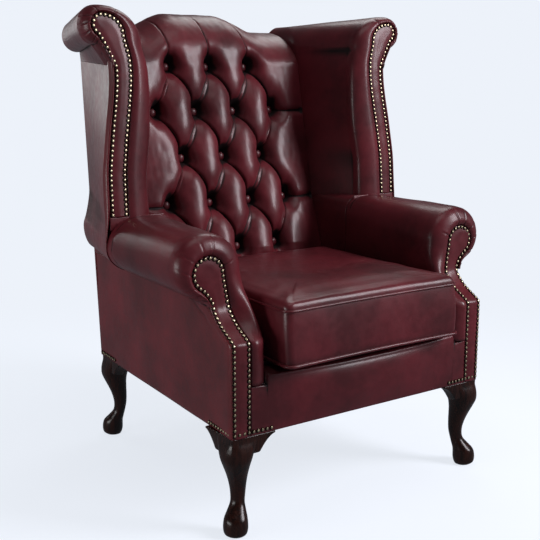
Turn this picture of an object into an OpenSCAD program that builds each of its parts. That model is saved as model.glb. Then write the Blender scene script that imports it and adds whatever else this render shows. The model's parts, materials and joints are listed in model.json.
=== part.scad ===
// Button-backed wing chair in leather: a beech frame on four cabriole legs, with webbing,
// stuffed and covered arms, wings and back, a loose seat cushion and close nailing.
// Millimetres. The chair faces -Y, Z is up, and the origin is on the floor under its middle.
// The sitter's left is +X. Each sided piece is shaped on the +X side and mirrored.

/* [Base] */
// Height of the underside of the upholstery, which is the length of the legs
base_height = 210; // [190:1:230]
// Height of the seat rails
rail_height = 90; // [80:1:96]
// Thickness of the seat rails, arm rails and posts
timber = 28; // [24:1:30]
// Thickness of the outside covers with their backing board
cover_t = 6; // [5:0.5:7]
// Thickness of the nailed facing boards
facing_t = 8; // [7:0.5:9]
// Distance from the clear seat width out to the rear corner of the base
side_rear = 37.5; // [36:0.5:44]
// How much wider the base is at each front corner than at the rear corner
side_flare = 50; // [40:1:60]
// Distance from the middle of the chair forward to the arm fronts
front_reach = 361; // [351:1:371]
// Distance from the middle of the chair back to the foot of the outside back
rear_reach = 343.5; // [337:1:349]

/* [Seat] */
// Clear width between the inside arms
seat_width = 511; // [501:1:521]
// Height of the seat deck above the seat rails
deck_rise = 45; // [40:1:52]
// Height of the cushion's lower piping above the deck
cushion_foot = 5; // [4:0.5:8]
// Height of the cushion between its two pipings
cushion_border = 111; // [95:1:118]
// Rise of the cushion's crown above its upper piping
cushion_crown = 17; // [10:1:22]
// Room between the cushion and the inside arm on each side
cushion_side_gap = 20.5; // [15:0.5:26]
// How far the cushion stands forward of the arm fronts
cushion_overhang = 33; // [27:1:40]
// Diameter of the piping round the cushion
piping_d = 8; // [6:0.5:9]

/* [Arms] */
// Height above the seat rails at which the arm front starts to lean back
knee_rise = 103; // [95:1:112]
// Further height over which the arm front leans back
neck_rise = 52; // [46:1:58]
// Height of the arm roll above the place where the arm front ends its lean
arm_rise = 157; // [148:1:166]
// Half the width of the arm roll
arm_roll = 72.5; // [68:0.5:76]
// Distance of the arm roll's middle outwards of the base's front corner
arm_out = 2; // [0:0.5:5]
// Distance that the arm roll stands back from the arm front
arm_setback = 77; // [70:1:84]

/* [Wings] */
// Height of the wings above the arms
wing_above_arm = 451; // [430:1:470]
// Half the width of the wing roll
wing_roll = 43; // [40:0.5:45]
// Distance of the wing roll's middle outwards of the base's front corner, at the front
wing_out = 57; // [52:1:62]
// Distance of the wing roll's middle outwards of the clear seat width, at the back
wing_tail_out = 44.5; // [41:0.5:48]
// Depth of the wings, from the foot of their front to the foot of the outside back
wing_depth = 323.5; // [310:0.5:335]
// How far the wing's front leans back for each unit of height
wing_lean = 0.065; // [0.05:0.005:0.08]

/* [Back] */
// Height of the camel-backed crest above the wings
crest_above_wing = 4; // [0:1:14]
// Drop from the crest's hump to its shoulders
crest_drop = 40; // [34:1:46]
// How far the outside back leans back for each unit of height
back_lean = 0.073; // [0.065:0.001:0.08]
// How far the inside back leans back for each unit of height
recline = 0.322; // [0.3:0.002:0.33]
// Depth of the back at arm height, from its front to the foot of the outside back
back_depth = 203.5; // [196:0.5:210]
// Height of the lowest row of buttons above the cushion's upper piping
low_row_rise = 30; // [26:1:40]
// Distance from the crest down to the top row of buttons
top_row_drop = 132; // [126:1:138]
// Depth of the pits that the buttons sit in
tuft_depth = 58; // [48:1:62]
// Diameter of a button
button_d = 22; // [18:1:24]

/* [Nails] */
// Diameter of a nail head
nail_d = 9.6; // [8:0.1:10]
// Gap between neighbouring nail heads
nail_gap = 1.1; // [0.6:0.1:4]
// Height of a nail head
nail_rise = 3; // [2:0.1:4]

/* [Legs] */
// Width of the square top of a leg
leg_top = 66; // [60:1:70]
// Radius of the ankle
ankle_r = 15.5; // [13:0.5:18]
// Radius of the pad foot
foot_r = 27; // [24:0.5:30]
// How far the foot stands out of the leg's top, measured across the corner
foot_out = 24; // [18:1:28]
// Length of a knee block beside the leg
ear_length = 38; // [30:1:42]

/* [Hidden] */

leather = "#5a1c22";
beech = "#c9a173";
mahogany = "#35160f";
brass = "#b59a5e";
jute = "#b8a27c";
felt = "#1d1c1e";
foam = "#e4d9b8";

// Clearance between soft pieces and what they lie against
soft_gap = 0.3;
// Clearance between the side rails and the boarded cover outside them
board_gap = 0.05;
// Overrun of every cut
over = 1;
// Thickness of a webbing strap
strap_t = 2.5;
// Width of a webbing strap
strap_w = 50;
// Thickness of the dust cover
dust_t = 1.2;

seat_half = seat_width / 2;
base_rear = seat_half + side_rear;
base_front = base_rear + side_flare;
rail_top = base_height + rail_height;
deck_height = rail_top + deck_rise;
cushion_low = deck_height + cushion_foot;
cushion_high = cushion_low + cushion_border;
knee_height = rail_top + knee_rise;
neck_height = knee_height + neck_rise;
arm_height = neck_height + arm_rise;
arm_centre = base_front + arm_out;
wing_height = arm_height + wing_above_arm;
wing_centre = base_front + wing_out;
wing_tail = seat_half + wing_tail_out;
wing_foot_y = rear_reach - wing_depth;
crest_height = wing_height + crest_above_wing;
lounge_y = rear_reach - back_depth;
top_row = crest_height - top_row_drop;
nail_pitch = nail_d + nail_gap;
side_slope = (base_front - base_rear) / (front_reach + rear_reach);
splay = atan(side_slope);
side_length = (front_reach + rear_reach) / cos(splay);
clear_half = seat_half - soft_gap;

// Small helpers for curves

function mix(a, b, t) = a + (b - a) * t;
function limited(t) = max(0, min(1, t));
function eased(t) = let (c = limited(t)) c * c * (3 - 2 * c);

// Value at t, from 0 to 1, of evenly spaced values joined by straight lines
function even_at(values, t) =
    let (n = len(values) - 1, p = limited(t) * n, i = min(floor(p), n - 1))
    mix(values[i], values[i + 1], p - i);

// Points at equal steps along a polyline
function path_length(path) =
    [for (i = [1:len(path) - 1]) norm(path[i] - path[i - 1])] * [for (i = [1:len(path) - 1]) 1];
function point_along(path, d, i = 1) =
    let (step = norm(path[i] - path[i - 1]))
    d <= step || i == len(path) - 1
        ? mix(path[i - 1], path[i], d / step)
        : point_along(path, d - step, i + 1);
function steps_along(path, pitch) =
    let (whole = path_length(path), count = max(1, round(whole / pitch)))
    [for (i = [0:count]) point_along(path, min(whole, i * whole / count))];

function volume_sign(points, faces) =
    [for (f = faces) cross(points[f[0]], points[f[1]]) * points[f[2]]] * [for (f = faces) 1];

// A closed solid from its points and triangles, turned so that its faces look outwards
module closed_solid(points, faces) {
    inside_out = volume_sign(points, faces) > 0;
    polyhedron(points, [for (f = faces) inside_out ? [f[2], f[1], f[0]] : f]);
}

// Triangles that join ring r of n points to the next ring
function wall(n, m) = [
    for (r = [0:m - 2], k = [0:n - 1])
        let (a = r * n + k, b = r * n + (k + 1) % n)
        each [[a, b, b + n], [a, b + n, a + n]]
];
function turned_round(faces) = [for (f = faces) [f[2], f[1], f[0]]];

// A padded form: each ring runs along its show side and back along its hidden side
module padded_form(shown, hidden) {
    half = len(shown[0]);
    n = 2 * half;
    m = len(shown);
    points = [
        for (r = [0:m - 1]) each concat(shown[r], [for (k = [half - 1:-1:0]) hidden[r][k]])
    ];
    cap = [
        for (k = [0:half - 2]) each [[k + 1, k, n - 1 - k], [k + 1, n - 1 - k, n - 2 - k]]
    ];
    far = [for (f = turned_round(cap)) [for (v = f) v + (m - 1) * n]];
    closed_solid(points, concat(wall(n, m), cap, far));
}

// A solid through rings of points, closed by a fan at each end
module lofted_form(rings) {
    n = len(rings[0]);
    m = len(rings);
    ends = [for (ring = [rings[0], rings[m - 1]])
        [for (c = [0:2]) [for (p = ring) p[c]] * [for (p = ring) 1 / n]]];
    points = concat([for (ring = rings) each ring], ends);
    near = [for (k = [0:n - 1]) [(k + 1) % n, k, m * n]];
    far = [for (k = [0:n - 1]) [(m - 1) * n + k, (m - 1) * n + (k + 1) % n, m * n + 1]];
    closed_solid(points, concat(wall(n, m), near, far));
}

module both_sides() {
    children();
    mirror([1, 0, 0]) children();
}

// Shape of the sides

// Outer face of the side at a place from front to back
function side_x(y) = base_front - (y + front_reach) * side_slope;
// Inner face of the side frame
function frame_x(y) = side_x(y) - (cover_t + timber) / cos(splay);
// Rear face of the outside back at a height
function back_y(z) = rear_reach + (z - base_height) * back_lean;
// Inner face of the outside back
function back_inner_y(z) = back_y(z) - cover_t;
// Puts a flat outline of (distance back from the front corner, height) into the plane of
// the side, with its thickness going inwards from the given depth
module in_side_plane(depth, thickness) {
    translate([base_front, -front_reach, 0]) rotate([0, 0, splay])
        translate([-depth, 0, 0]) rotate([90, 0, -90]) mirror([1, 0, 0])
            linear_extrude(height = thickness) children();
}

// Where the inside back meets the arms and wings, at a height
crease_step = 33;
crease_low_lean = 0.34;
crease_high_lean = 0.19;
crease_hold = 10;
function crease_y(z) =
    let (h = max(z, cushion_high + crease_hold) - arm_height)
    lounge_y + crease_step + h * (h < 0 ? crease_low_lean : crease_high_lean);

// The front of the arms

arm_face_y = arm_setback - front_reach;
// Place of the arm's front at a height: upright, leaning back above the knee, upright again
function arm_front(z) =
    z <= knee_height ? -front_reach :
    z >= neck_height ? arm_face_y :
    mix(-front_reach, arm_face_y, (z - knee_height) / (neck_height - knee_height));

inner_steps = 7;
arc_steps = 11;
neck_steps = 3;
outline_last = inner_steps + arc_steps + neck_steps;

// Outline of a rolled arm or wing seen from the front: up its inner line, over its
// shoulder, round its roll about the point c, and in to its neck
function rolled_outline(inner, heights, c, r_in, r_top, r_out, r_low, tail, neck, sq = 1) =
    let (last = [c[0] + r_out * cos(tail), c[1] - r_low * sin(tail)])
    let (shoulder_z = heights[inner_steps])
    concat(
        [for (i = [0:inner_steps - 1]) [even_at(inner, i / inner_steps), heights[i]]],
        [for (j = [0:arc_steps])
            let (a = 180 - j * (180 + tail) / arc_steps)
            a > 90
                ? [c[0] - r_in * pow(abs(cos(a)), sq),
                   shoulder_z + (c[1] + r_top - shoulder_z) * pow(sin(a), sq)]
                : [c[0] + r_out * cos(a), c[1] + (a > 0 ? r_top : r_low) * sin(a)]],
        [for (k = [1:neck_steps])
            let (t = k / neck_steps)
            [mix(last[0], neck[0], 1 - pow(1 - t, 1.6)), mix(last[1], neck[1], t)]]
    );

function even_heights(low, high) = [for (i = [0:inner_steps]) mix(low, high, i / inner_steps)];

// How far a ring stands between the facing's edge and the full section, in shares, and
// how far it stands behind the facing's face, in shares of the rounding's depth
round_out_shares = [0.02, 0.05, 0.3, 0.68, 0.93, 1];
round_back_shares = [0.1, -0.06, -0.16, 0.04, 0.42, 1];
round_depth = 34;
station_shares = [0.2, 0.45, 0.7, 0.87, 1];
round_rings = len(round_out_shares);
post_back = facing_t + timber;

// The hidden side of a pad starts as a fold behind the facing's edge and then lies on
// the post, which is smaller than the pad by the stuffing's thickness
function on_post(edge, section, stuffing) =
    let (gap = norm(section - edge))
    mix(edge, section, max(round_out_shares[1], 1 - stuffing / gap));
fold_shares = [0, 0.3, 0.65, 1, 1, 1];
function fold_back(r) = r < 4 ? facing_t - soft_gap : post_back + soft_gap;

// Arms

arm_strip = 44;
facing_in = base_front - arm_strip;
arm_foot = rail_top + 6 * strap_t;
arm_stuffing = 16;
arm_neck_step = 10;
arm_neck_z = neck_height + arm_neck_step;
arm_roll_share = 0.8535;
arm_roll_drop = arm_rise * arm_roll_share;
arm_roll_z = arm_height - arm_roll_drop / 2;
arm_loop_r = 43;
arm_loop_share = 0.51;
arm_loop_drop = arm_rise * arm_loop_share;
arm_tail = 68;
arm_lean = 6;
arm_lean_shares = [0, 0, 0, 0, 0.1, 0.3, 0.6, 1];
arm_end_y = wing_foot_y + facing_t;
neck_step = 3;
underside_rise = 12;

arm_shoulder_z = arm_height - arm_loop_drop;
arm_heights = [
    arm_foot, mix(arm_foot, knee_height, 0.5), knee_height, mix(knee_height, neck_height, 0.5),
    neck_height, mix(neck_height, arm_shoulder_z, 1 / 3),
    mix(neck_height, arm_shoulder_z, 2 / 3), arm_shoulder_z
];

arm_edge = rolled_outline([facing_in, facing_in], arm_heights,
    [arm_centre, arm_shoulder_z], arm_centre - facing_in, arm_loop_r, arm_loop_r,
    arm_loop_r, arm_tail, [base_front, arm_neck_z + neck_step]);

arm_section = rolled_outline([for (s = arm_lean_shares) seat_half + arm_lean * s], arm_heights,
    [arm_centre, arm_roll_z], arm_centre - seat_half - arm_lean,
    arm_roll_drop / 2, arm_roll, arm_roll_drop / 2, arm_tail,
    [base_front + neck_step, arm_neck_z]);

arm_end_section = rolled_outline([seat_half, seat_half], arm_heights,
    [arm_centre, arm_roll_z], arm_centre - seat_half, arm_roll_drop / 2, arm_roll,
    arm_roll_drop / 2 - underside_rise, arm_tail,
    [side_x(arm_end_y) + neck_step, arm_neck_z + underside_rise], 0.8);

arm_rail_low = arm_neck_z + underside_rise + neck_step;
arm_rail_height = 60;
arm_rail_top = arm_rail_low + arm_rail_height;

// Hidden side of the arm pad behind its post: against the side frame, over the arm rail
// and down its outer face to the neck
function arm_lining(k, y, z, neck_z) =
    let (inner = frame_x(y) - soft_gap, outer = side_x(y) - cover_t + soft_gap)
    let (top = arm_rail_top + soft_gap, t = (k - inner_steps - 5) / (outline_last - inner_steps - 5))
    k < inner_steps ? [inner, min(z, top)] :
    k < inner_steps + 5 ? [mix(inner, outer, (k - inner_steps) / 5), top] :
    [outer, mix(top, neck_z, t)];

function arm_ring_y(k, r) =
    let (front = arm_front(arm_edge[k][1]))
    r < round_rings ? front + round_depth * round_back_shares[r] :
    mix(front + round_depth, arm_end_y - soft_gap, station_shares[r - round_rings]);

function arm_shown(k, r) =
    let (p = r < round_rings ? mix(arm_edge[k], arm_section[k], round_out_shares[r])
        : mix(arm_section[k], arm_end_section[k], station_shares[r - round_rings]))
    [p[0], arm_ring_y(k, r), p[1]];

function arm_hidden(k, r) =
    let (front = arm_front(arm_edge[k][1]))
    let (y = max(front + post_back + 2 * soft_gap, arm_ring_y(k, r)))
    let (seat = on_post(arm_edge[k], arm_section[k], arm_stuffing))
    let (start = mix(arm_edge[k], arm_section[k], round_out_shares[0]))
    let (fold = mix(start, seat, fold_shares[min(r, round_rings - 1)]))
    let (lining = arm_lining(k, y, arm_shown(k, r)[2], arm_shown(outline_last, r)[2]))
    r < round_rings - 1 ? [fold[0], front + fold_back(r), fold[1]] : [lining[0], y, lining[1]];

arm_panel_drop = 7;
arm_panel_top = arm_height - arm_panel_drop;
arm_panel_step = 12;

// The inside arm behind the front of the wing: a panel up to the foot of the wing
module arm_back_panel() {
    function panel_ring(y, round) =
        let (x0 = seat_half, x1 = frame_x(y) - soft_gap, top = arm_panel_top)
        [[x0, y, arm_foot], [x0, y, top - 3 * round], [mix(x0, x1, 0.25), y, top - 1.2 * round],
         [mix(x0, x1, 0.6), y, top - 0.3 * round], [x1, y, top], [x1, y, arm_foot]];
    lofted_form([
        panel_ring(arm_end_y - arm_panel_step, arm_panel_step),
        panel_ring(arm_end_y + round_depth, arm_panel_step * 0.8),
        panel_ring(crease_y(arm_height), arm_panel_step * 0.1),
        panel_ring(crease_y(arm_height) + 2 * arm_panel_step, arm_panel_step * 0.1)
    ]);
}

module inside_arm() color(leather) union() {
    rings = [0:round_rings + len(station_shares) - 1];
    padded_form(
        [for (r = rings) [for (k = [0:outline_last]) arm_shown(k, r)]],
        [for (r = rings) [for (k = [0:outline_last]) arm_hidden(k, r)]]
    );
    arm_back_panel();
}

// Keeps what lies between two distances behind the arm's front
module arm_front_band(near, far) {
    low = base_height - over;
    high = arm_height + over;
    rotate([90, 0, 90]) linear_extrude(height = arm_centre + 2 * arm_roll)
        polygon([
            [near - front_reach, low], [near - front_reach, knee_height],
            [near + arm_face_y, neck_height], [near + arm_face_y, high],
            [far + arm_face_y, high], [far + arm_face_y, neck_height],
            [far - front_reach, knee_height], [far - front_reach, low]
        ]);
}
module upright_outline(points, near, far) {
    translate([0, far, 0]) rotate([90, 0, 0]) linear_extrude(height = far - near) polygon(points);
}

module arm_facing() color(leather) intersection() {
    upright_outline(concat([[facing_in, base_height]], arm_edge, [[base_front, base_height]]),
        -front_reach - over, arm_end_y);
    arm_front_band(0, facing_t);
}

module arm_post() color(beech) difference() {
    seat = [for (k = [0:outline_last])
        on_post(arm_edge[k], arm_section[k], arm_stuffing + 2 * soft_gap)];
    intersection() {
        upright_outline(concat([[seat[0][0], base_height]], seat, [[base_front, base_height]]),
            -front_reach - over, arm_end_y);
        arm_front_band(facing_t, post_back);
    }
    in_side_plane(cover_t - 2 * timber, 2 * timber)
        polygon([[-over, base_height - over], [side_length, base_height - over],
            [side_length, arm_neck_z + neck_step], [-over, arm_neck_z + neck_step]]);
}

// Distance back along the side for a place from front to back
function along_side(y) = (y + front_reach) / cos(splay);

// A rail of the side frame between two heights, from a place near the front to the back post
module side_rail(front, low, high) difference() {
    intersection() {
        in_side_plane(cover_t + board_gap, timber - board_gap) polygon([
            [along_side(front) - timber, low], [along_side(front) - timber, high],
            [along_side(post_front_y(high)) + over, high], [along_side(post_front_y(low)) + over, low]
        ]);
        translate([0, front, low - over]) cube([arm_centre, 2 * front_reach, high - low + 2 * over]);
    }
    back_post();
}
module arm_rail() color(beech) side_rail(arm_face_y + post_back, arm_rail_low, arm_rail_top);

module outside_arm() color(leather) in_side_plane(0, cover_t) {
    gap = facing_t + soft_gap + cover_t * sin(splay);
    tail_z = arm_neck_z + underside_rise;
    polygon([
        [along_side(gap - front_reach), base_height],
        [along_side(gap - front_reach), knee_height],
        [along_side(gap + arm_face_y), neck_height],
        [along_side(gap + arm_face_y), arm_neck_z - soft_gap],
        [along_side(arm_face_y + round_depth), arm_neck_z - soft_gap],
        [along_side(arm_end_y), tail_z - soft_gap],
        [along_side(back_inner_y(tail_z) - soft_gap), tail_z - soft_gap],
        [along_side(back_inner_y(base_height) - soft_gap), base_height]
    ]);
}

// Wings

wing_foot_z = arm_height + 2 * soft_gap;
wing_foot_out = 22;
wing_foot_x = base_front + wing_foot_out;
wing_waist = 29;
wing_strip = 42;
wing_edge_shares = [0, 0.02, 0.07, 0.28, 0.52, 0.8, 1, 0.98, 0.59];
wing_bulge_out = 44.5;
wing_bulge_x = seat_half + wing_bulge_out;
wing_bulge = 16;
wing_bulge_shares = [0, -0.06, 0, 0.38, 0.75, 0.94, 0.97, 0.81, 0.12];
wing_stuffing = 13.5;
wing_tail_angle = 100;
wing_loop_r = 29.5;
wing_loop_in = 2;
wing_loop_down = 3;
wing_shoulder_drop = 63;
wing_neck_drop = 105;
wing_neck_z = wing_height - wing_neck_drop;
wing_rise = 6;
wing_shoulder_z = wing_height - wing_shoulder_drop;
wing_wrap = 9;

function wing_front(z) = wing_foot_y + (z - wing_foot_z) * wing_lean;
function wing_line(z) =
    let (t = (z - wing_foot_z) / (wing_shoulder_z - wing_foot_z))
    wing_foot_x - wing_waist * even_at(wing_edge_shares, t);

wing_edge = rolled_outline([for (s = wing_edge_shares) wing_foot_x - wing_waist * s],
    even_heights(wing_foot_z, wing_shoulder_z),
    [wing_centre - wing_loop_in, wing_height - wing_roll - wing_loop_down],
    wing_centre - wing_loop_in - wing_line(wing_shoulder_z), wing_loop_r, wing_loop_r, wing_loop_r,
    wing_tail_angle, [wing_line(wing_neck_z) + wing_strip, wing_neck_z + neck_step]);

wing_section = rolled_outline([for (s = wing_bulge_shares) wing_bulge_x - wing_bulge * s],
    even_heights(wing_foot_z, wing_shoulder_z - wing_bulge), [wing_centre, wing_height - wing_roll],
    wing_centre - wing_bulge_x + wing_bulge * wing_bulge_shares[8], wing_roll, wing_roll,
    wing_roll, wing_tail_angle,
    [wing_line(wing_neck_z) + wing_strip + neck_step, wing_neck_z]);

wing_end_section = rolled_outline([seat_half, seat_half],
    even_heights(arm_panel_top + soft_gap, wing_shoulder_z),
    [wing_tail, wing_height - wing_roll + wing_rise], wing_tail - seat_half, wing_roll,
    wing_roll, wing_roll, wing_tail_angle, [wing_tail - neck_step, wing_neck_z]);

wing_tuck = 30;
function wing_end_y(k) =
    let (z = wing_end_section[k][1])
    k < inner_steps ? crease_y(z) + wing_tuck :
    min(back_inner_y(wing_height) - wing_tuck / 5, back_inner_y(z) - soft_gap);
function wing_reach_y(k) = k < inner_steps ? crease_y(wing_end_section[k][1]) : wing_end_y(k);

function wing_ring_y(k, r) =
    let (front = wing_front(wing_edge[k][1]))
    r < round_rings ? front + round_depth * round_back_shares[r] :
    mix(front + round_depth, wing_end_y(k), station_shares[r - round_rings]);

function wing_shown(k, r) =
    let (y = wing_ring_y(k, r), start = wing_ring_y(k, round_rings - 1))
    let (t = limited((y - start) / (wing_reach_y(k) - start)))
    let (p = r < round_rings ? mix(wing_edge[k], wing_section[k], round_out_shares[r])
        : mix(wing_section[k], wing_end_section[k], t))
    [p[0], y, p[1]];

roll_core_share = 0.28;
function wing_lining(k, p, c) =
    k < inner_steps ? [p[0] + wing_stuffing, p[2]] :
    k <= inner_steps + arc_steps
        ? [mix(c[0], p[0], roll_core_share), mix(c[1], p[2], roll_core_share)] :
    [p[0] - wing_stuffing * 0.5, p[2] + wing_stuffing * 0.4];

function wing_hidden(k, r) =
    let (front = wing_front(wing_edge[k][1]), p = wing_shown(k, r))
    let (t = limited((p[1] - front) / (back_inner_y(wing_height) - front)))
    let (c = [mix(wing_centre, wing_tail, t), wing_height - wing_roll + wing_rise * t])
    let (seat = on_post(wing_edge[k], wing_section[k], wing_stuffing))
    let (start = mix(wing_edge[k], wing_section[k], round_out_shares[0]))
    let (fold = mix(start, seat, fold_shares[min(r, round_rings - 1)]))
    let (lining = wing_lining(k, p, c))
    r < round_rings - 1
        ? [fold[0], wing_front(fold[1]) + fold_back(r), fold[1]]
        : [lining[0], max(p[1], wing_front(lining[1]) + post_back + 2 * soft_gap), lining[1]];

module inside_wing() color(leather) {
    rings = [0:round_rings + len(station_shares) - 1];
    padded_form(
        [for (r = rings) [for (k = [0:outline_last]) wing_shown(k, r)]],
        [for (r = rings) [for (k = [0:outline_last]) wing_hidden(k, r)]]
    );
}

// Keeps what lies between two distances behind the leaning front of the wing
module wing_front_band(near, far) {
    low = arm_rail_low;
    high = wing_height + over;
    rotate([90, 0, 90]) linear_extrude(height = wing_centre + 2 * wing_roll)
        polygon([
            [near + wing_front(low), low], [near + wing_front(high), high],
            [far + wing_front(high), high], [far + wing_front(low), low]
        ]);
}

wing_outer_steps = 6;
function wing_outer_line(out) = [
    for (i = [0:wing_outer_steps])
        let (z = mix(wing_neck_z, wing_foot_z, i / wing_outer_steps)) [wing_line(z) + wing_strip + out, z]
];

module wing_facing() color(leather) intersection() {
    upright_outline(concat(wing_edge, wing_outer_line(0)), -front_reach, front_reach);
    wing_front_band(0, facing_t);
}

module wing_post() color(beech) intersection() {
    seat = [for (k = [0:outline_last - 1])
        on_post(wing_edge[k], wing_section[k], wing_stuffing + 4 * soft_gap)];
    foot_x = frame_x(arm_end_y) + neck_step;
    foot_z = arm_rail_top;
    upright_outline(
        concat([[foot_x, foot_z], [foot_x, arm_panel_top]], seat, wing_outer_line(-wing_wrap - soft_gap),
            [[wing_foot_x + wing_strip / 2, arm_roll_z]]),
        arm_end_y, front_reach);
    wing_front_band(facing_t, post_back);
}

wing_rail_height = 45;
wing_rail_t = 18;
wing_rail_drop = 50;
wing_rail_top = wing_shoulder_z - wing_rail_drop;
module wing_rail() color(beech) {
    z = wing_rail_top - wing_rail_height;
    start = [wing_line(wing_rail_top) + wing_strip / 6, wing_front(wing_rail_top) + post_back];
    finish = [post_x + timber - wing_rail_t / 2, post_front_y(wing_rail_top)];
    run = finish - start;
    across = [-run[1], run[0]] / norm(run) * wing_rail_t / 2;
    difference() {
        translate([0, 0, z]) linear_extrude(height = wing_rail_height)
            intersection() {
                polygon([start - run + across, start - run - across, finish - across, finish + across]);
                translate([0, start[1]]) square([wing_centre, front_reach]);
            }
        back_post();
    }
}

tail_roll = 28;
outside_rings = 8;
cover_fold = 1;
cover_thick = cover_t + cover_fold;
outside_top_steps = 7;
outside_arc_steps = 6;
outside_last = outside_top_steps + outside_arc_steps + 2;
function roll_angle(k) = 25 - (k - outside_top_steps) * 115 / (outside_arc_steps + 1);

// The outside of the wing from its neck down, round the arm's roll, and under it: its
// front outline, its back outline and the middle of the roll it goes round
function outside_front(k) =
    k < outside_top_steps
        ? let (z = mix(wing_neck_z - soft_gap, wing_foot_z, k / (outside_top_steps - 1)))
          [wing_line(z) + wing_strip + wing_wrap, z]
    : k < outside_last
        ? let (a = roll_angle(k))
          [arm_centre + arm_roll * cos(max(a, 0) * 0.5) * (a < 0 ? cos(a) : 1),
           arm_roll_z + (a > 0 ? arm_roll : arm_roll_drop / 2 - underside_rise) * sin(a)]
    : [side_x(arm_end_y) + neck_step, arm_neck_z + underside_rise];
function outside_back_edge(k) =
    let (x = side_x(back_inner_y(arm_height)), z = outside_front(k)[1], a = roll_angle(k))
    k < outside_top_steps ? [wing_tail - neck_step, z] :
    k < outside_last ? [x + tail_roll * cos(max(a, 0) * 2) * (a < 0 ? cos(a) : 1), z] :
    [x + neck_step, z];
outside_back_shares = [0.03, -0.08, 0.0, 0.3];
outside_wrap_shares = [0.04, 0.35, 0.75, 1];
outside_station_shares = [0.25, 0.5, 0.75, 1];

function outside_start(k) =
    outside_front(k)[1] >= wing_foot_z ? wing_front(outside_front(k)[1]) : arm_end_y + soft_gap;
function outside_wing_shown(k, r) =
    let (f = outside_front(k), b = outside_back_edge(k), start = outside_start(k))
    let (finish = back_inner_y(f[1]) - soft_gap, upper = f[1] >= wing_foot_z)
    let (y0 = upper ? start + round_depth * outside_back_shares[min(r, 3)] : start + neck_step * min(r, 3))
    let (x0 = upper ? f[0] - wing_wrap * (1 - outside_wrap_shares[min(r, 3)]) : f[0])
    let (t = r < 4 ? 0 : outside_station_shares[r - 4])
    [mix(x0, b[0], t), mix(y0, finish, t), f[1]];
function outside_wing_hidden(k, r) =
    let (p = outside_wing_shown(k, r), f = outside_front(k), upper = f[1] >= wing_foot_z)
    let (c = [mix(arm_centre, side_x(p[1]), limited((p[1] - arm_end_y) / front_reach)), arm_roll_z])
    let (inward = [c[0] - p[0], c[1] - p[2]] / norm([c[0] - p[0], c[1] - p[2]]) * cover_thick)
    let (wrapped = r < 4 ? f[0] - wing_wrap + 2 * soft_gap * (r + 1) : p[0] - cover_thick)
    upper
        ? [max(p[0] - cover_thick, wrapped),
           r < 4 ? outside_start(k) + facing_t - soft_gap + r * soft_gap : p[1], p[2]]
    : k == outside_last ? [p[0] - neck_step - cover_t + soft_gap, p[1], p[2] + neck_step]
    : [p[0] + inward[0], p[1], p[2] + inward[1]];

module outside_wing() color(leather) {
    padded_form(
        [for (r = [0:outside_rings - 1]) [for (k = [0:outside_last]) outside_wing_shown(k, r)]],
        [for (r = [0:outside_rings - 1]) [for (k = [0:outside_last]) outside_wing_hidden(k, r)]]
    );
}

// Back frame

post_room = 2;
post_x = base_rear - cover_t - timber - post_room;
post_foot = 85;
post_head = 47;
post_top = wing_rail_top;
// Front edge of the back posts, which lean back more than the outside back
function post_front_y(z) =
    back_inner_y(z) - mix(post_foot, post_head, (z - rail_top) / (post_top - rail_top));
function post_profile(low, high, depth = 0) = [
    [post_front_y(low), low], [depth > 0 ? post_front_y(low) + depth : back_inner_y(low), low],
    [depth > 0 ? post_front_y(high) + depth : back_inner_y(high), high], [post_front_y(high), high]
];
module across_seat(half) {
    translate([-half, 0, 0]) rotate([90, 0, 90]) linear_extrude(height = 2 * half) children();
}

module back_post() color(beech) translate([post_x, 0, 0]) rotate([90, 0, 90])
    linear_extrude(height = timber) polygon(post_profile(base_height, post_top));

lower_rail_rise = 20;
lower_rail_low = rail_top + lower_rail_rise;
lower_rail_height = 55;
lower_rail_depth = 45;
module lower_back_rail() color(beech) across_seat(post_x)
    polygon(post_profile(lower_rail_low, lower_rail_low + lower_rail_height, lower_rail_depth));

crest_rail_height = 62;
crest_padding = 52;
crest_rail_top = crest_height - crest_drop - crest_padding;
module crest_rail() color(beech) across_seat(post_x)
    polygon(post_profile(crest_rail_top - crest_rail_height, crest_rail_top));

module rear_seat_rail() color(beech) across_seat(post_x) {
    z = [base_height, rail_top];
    polygon([
        [back_inner_y(z[0]) - timber, z[0]], [back_inner_y(z[0]), z[0]],
        [back_inner_y(z[1]), z[1]], [back_inner_y(z[1]) - timber, z[1]]
    ]);
}

front_rail_y = facing_t - front_reach;
front_rail_half = seat_half + arm_stuffing + soft_gap;
module front_seat_rail() color(beech) translate([-front_rail_half, front_rail_y, base_height])
    cube([2 * front_rail_half, timber, rail_height]);

module side_seat_rail() color(beech) side_rail(front_rail_y + timber, base_height, rail_top + strap_t);

block_leg = 95;
block_height = 60;
front_block_y = front_rail_y + timber;
rear_block_y = back_inner_y(base_height) - timber;
module corner_blocks() color(beech) both_sides() {
    x0 = frame_x(front_block_y);
    x1 = frame_x(rear_block_y - block_leg);
    difference() {
        translate([0, 0, base_height]) linear_extrude(height = block_height) {
            polygon([[x0, front_block_y], [x0 - block_leg, front_block_y],
                [frame_x(front_block_y + block_leg), front_block_y + block_leg]]);
            polygon([[post_x, rear_block_y], [post_x - block_leg, rear_block_y],
                [post_x - block_leg / 3, rear_block_y - block_leg], [post_x, rear_block_y - block_leg]]);
        }
        bolt_holes();
    }
}

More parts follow.
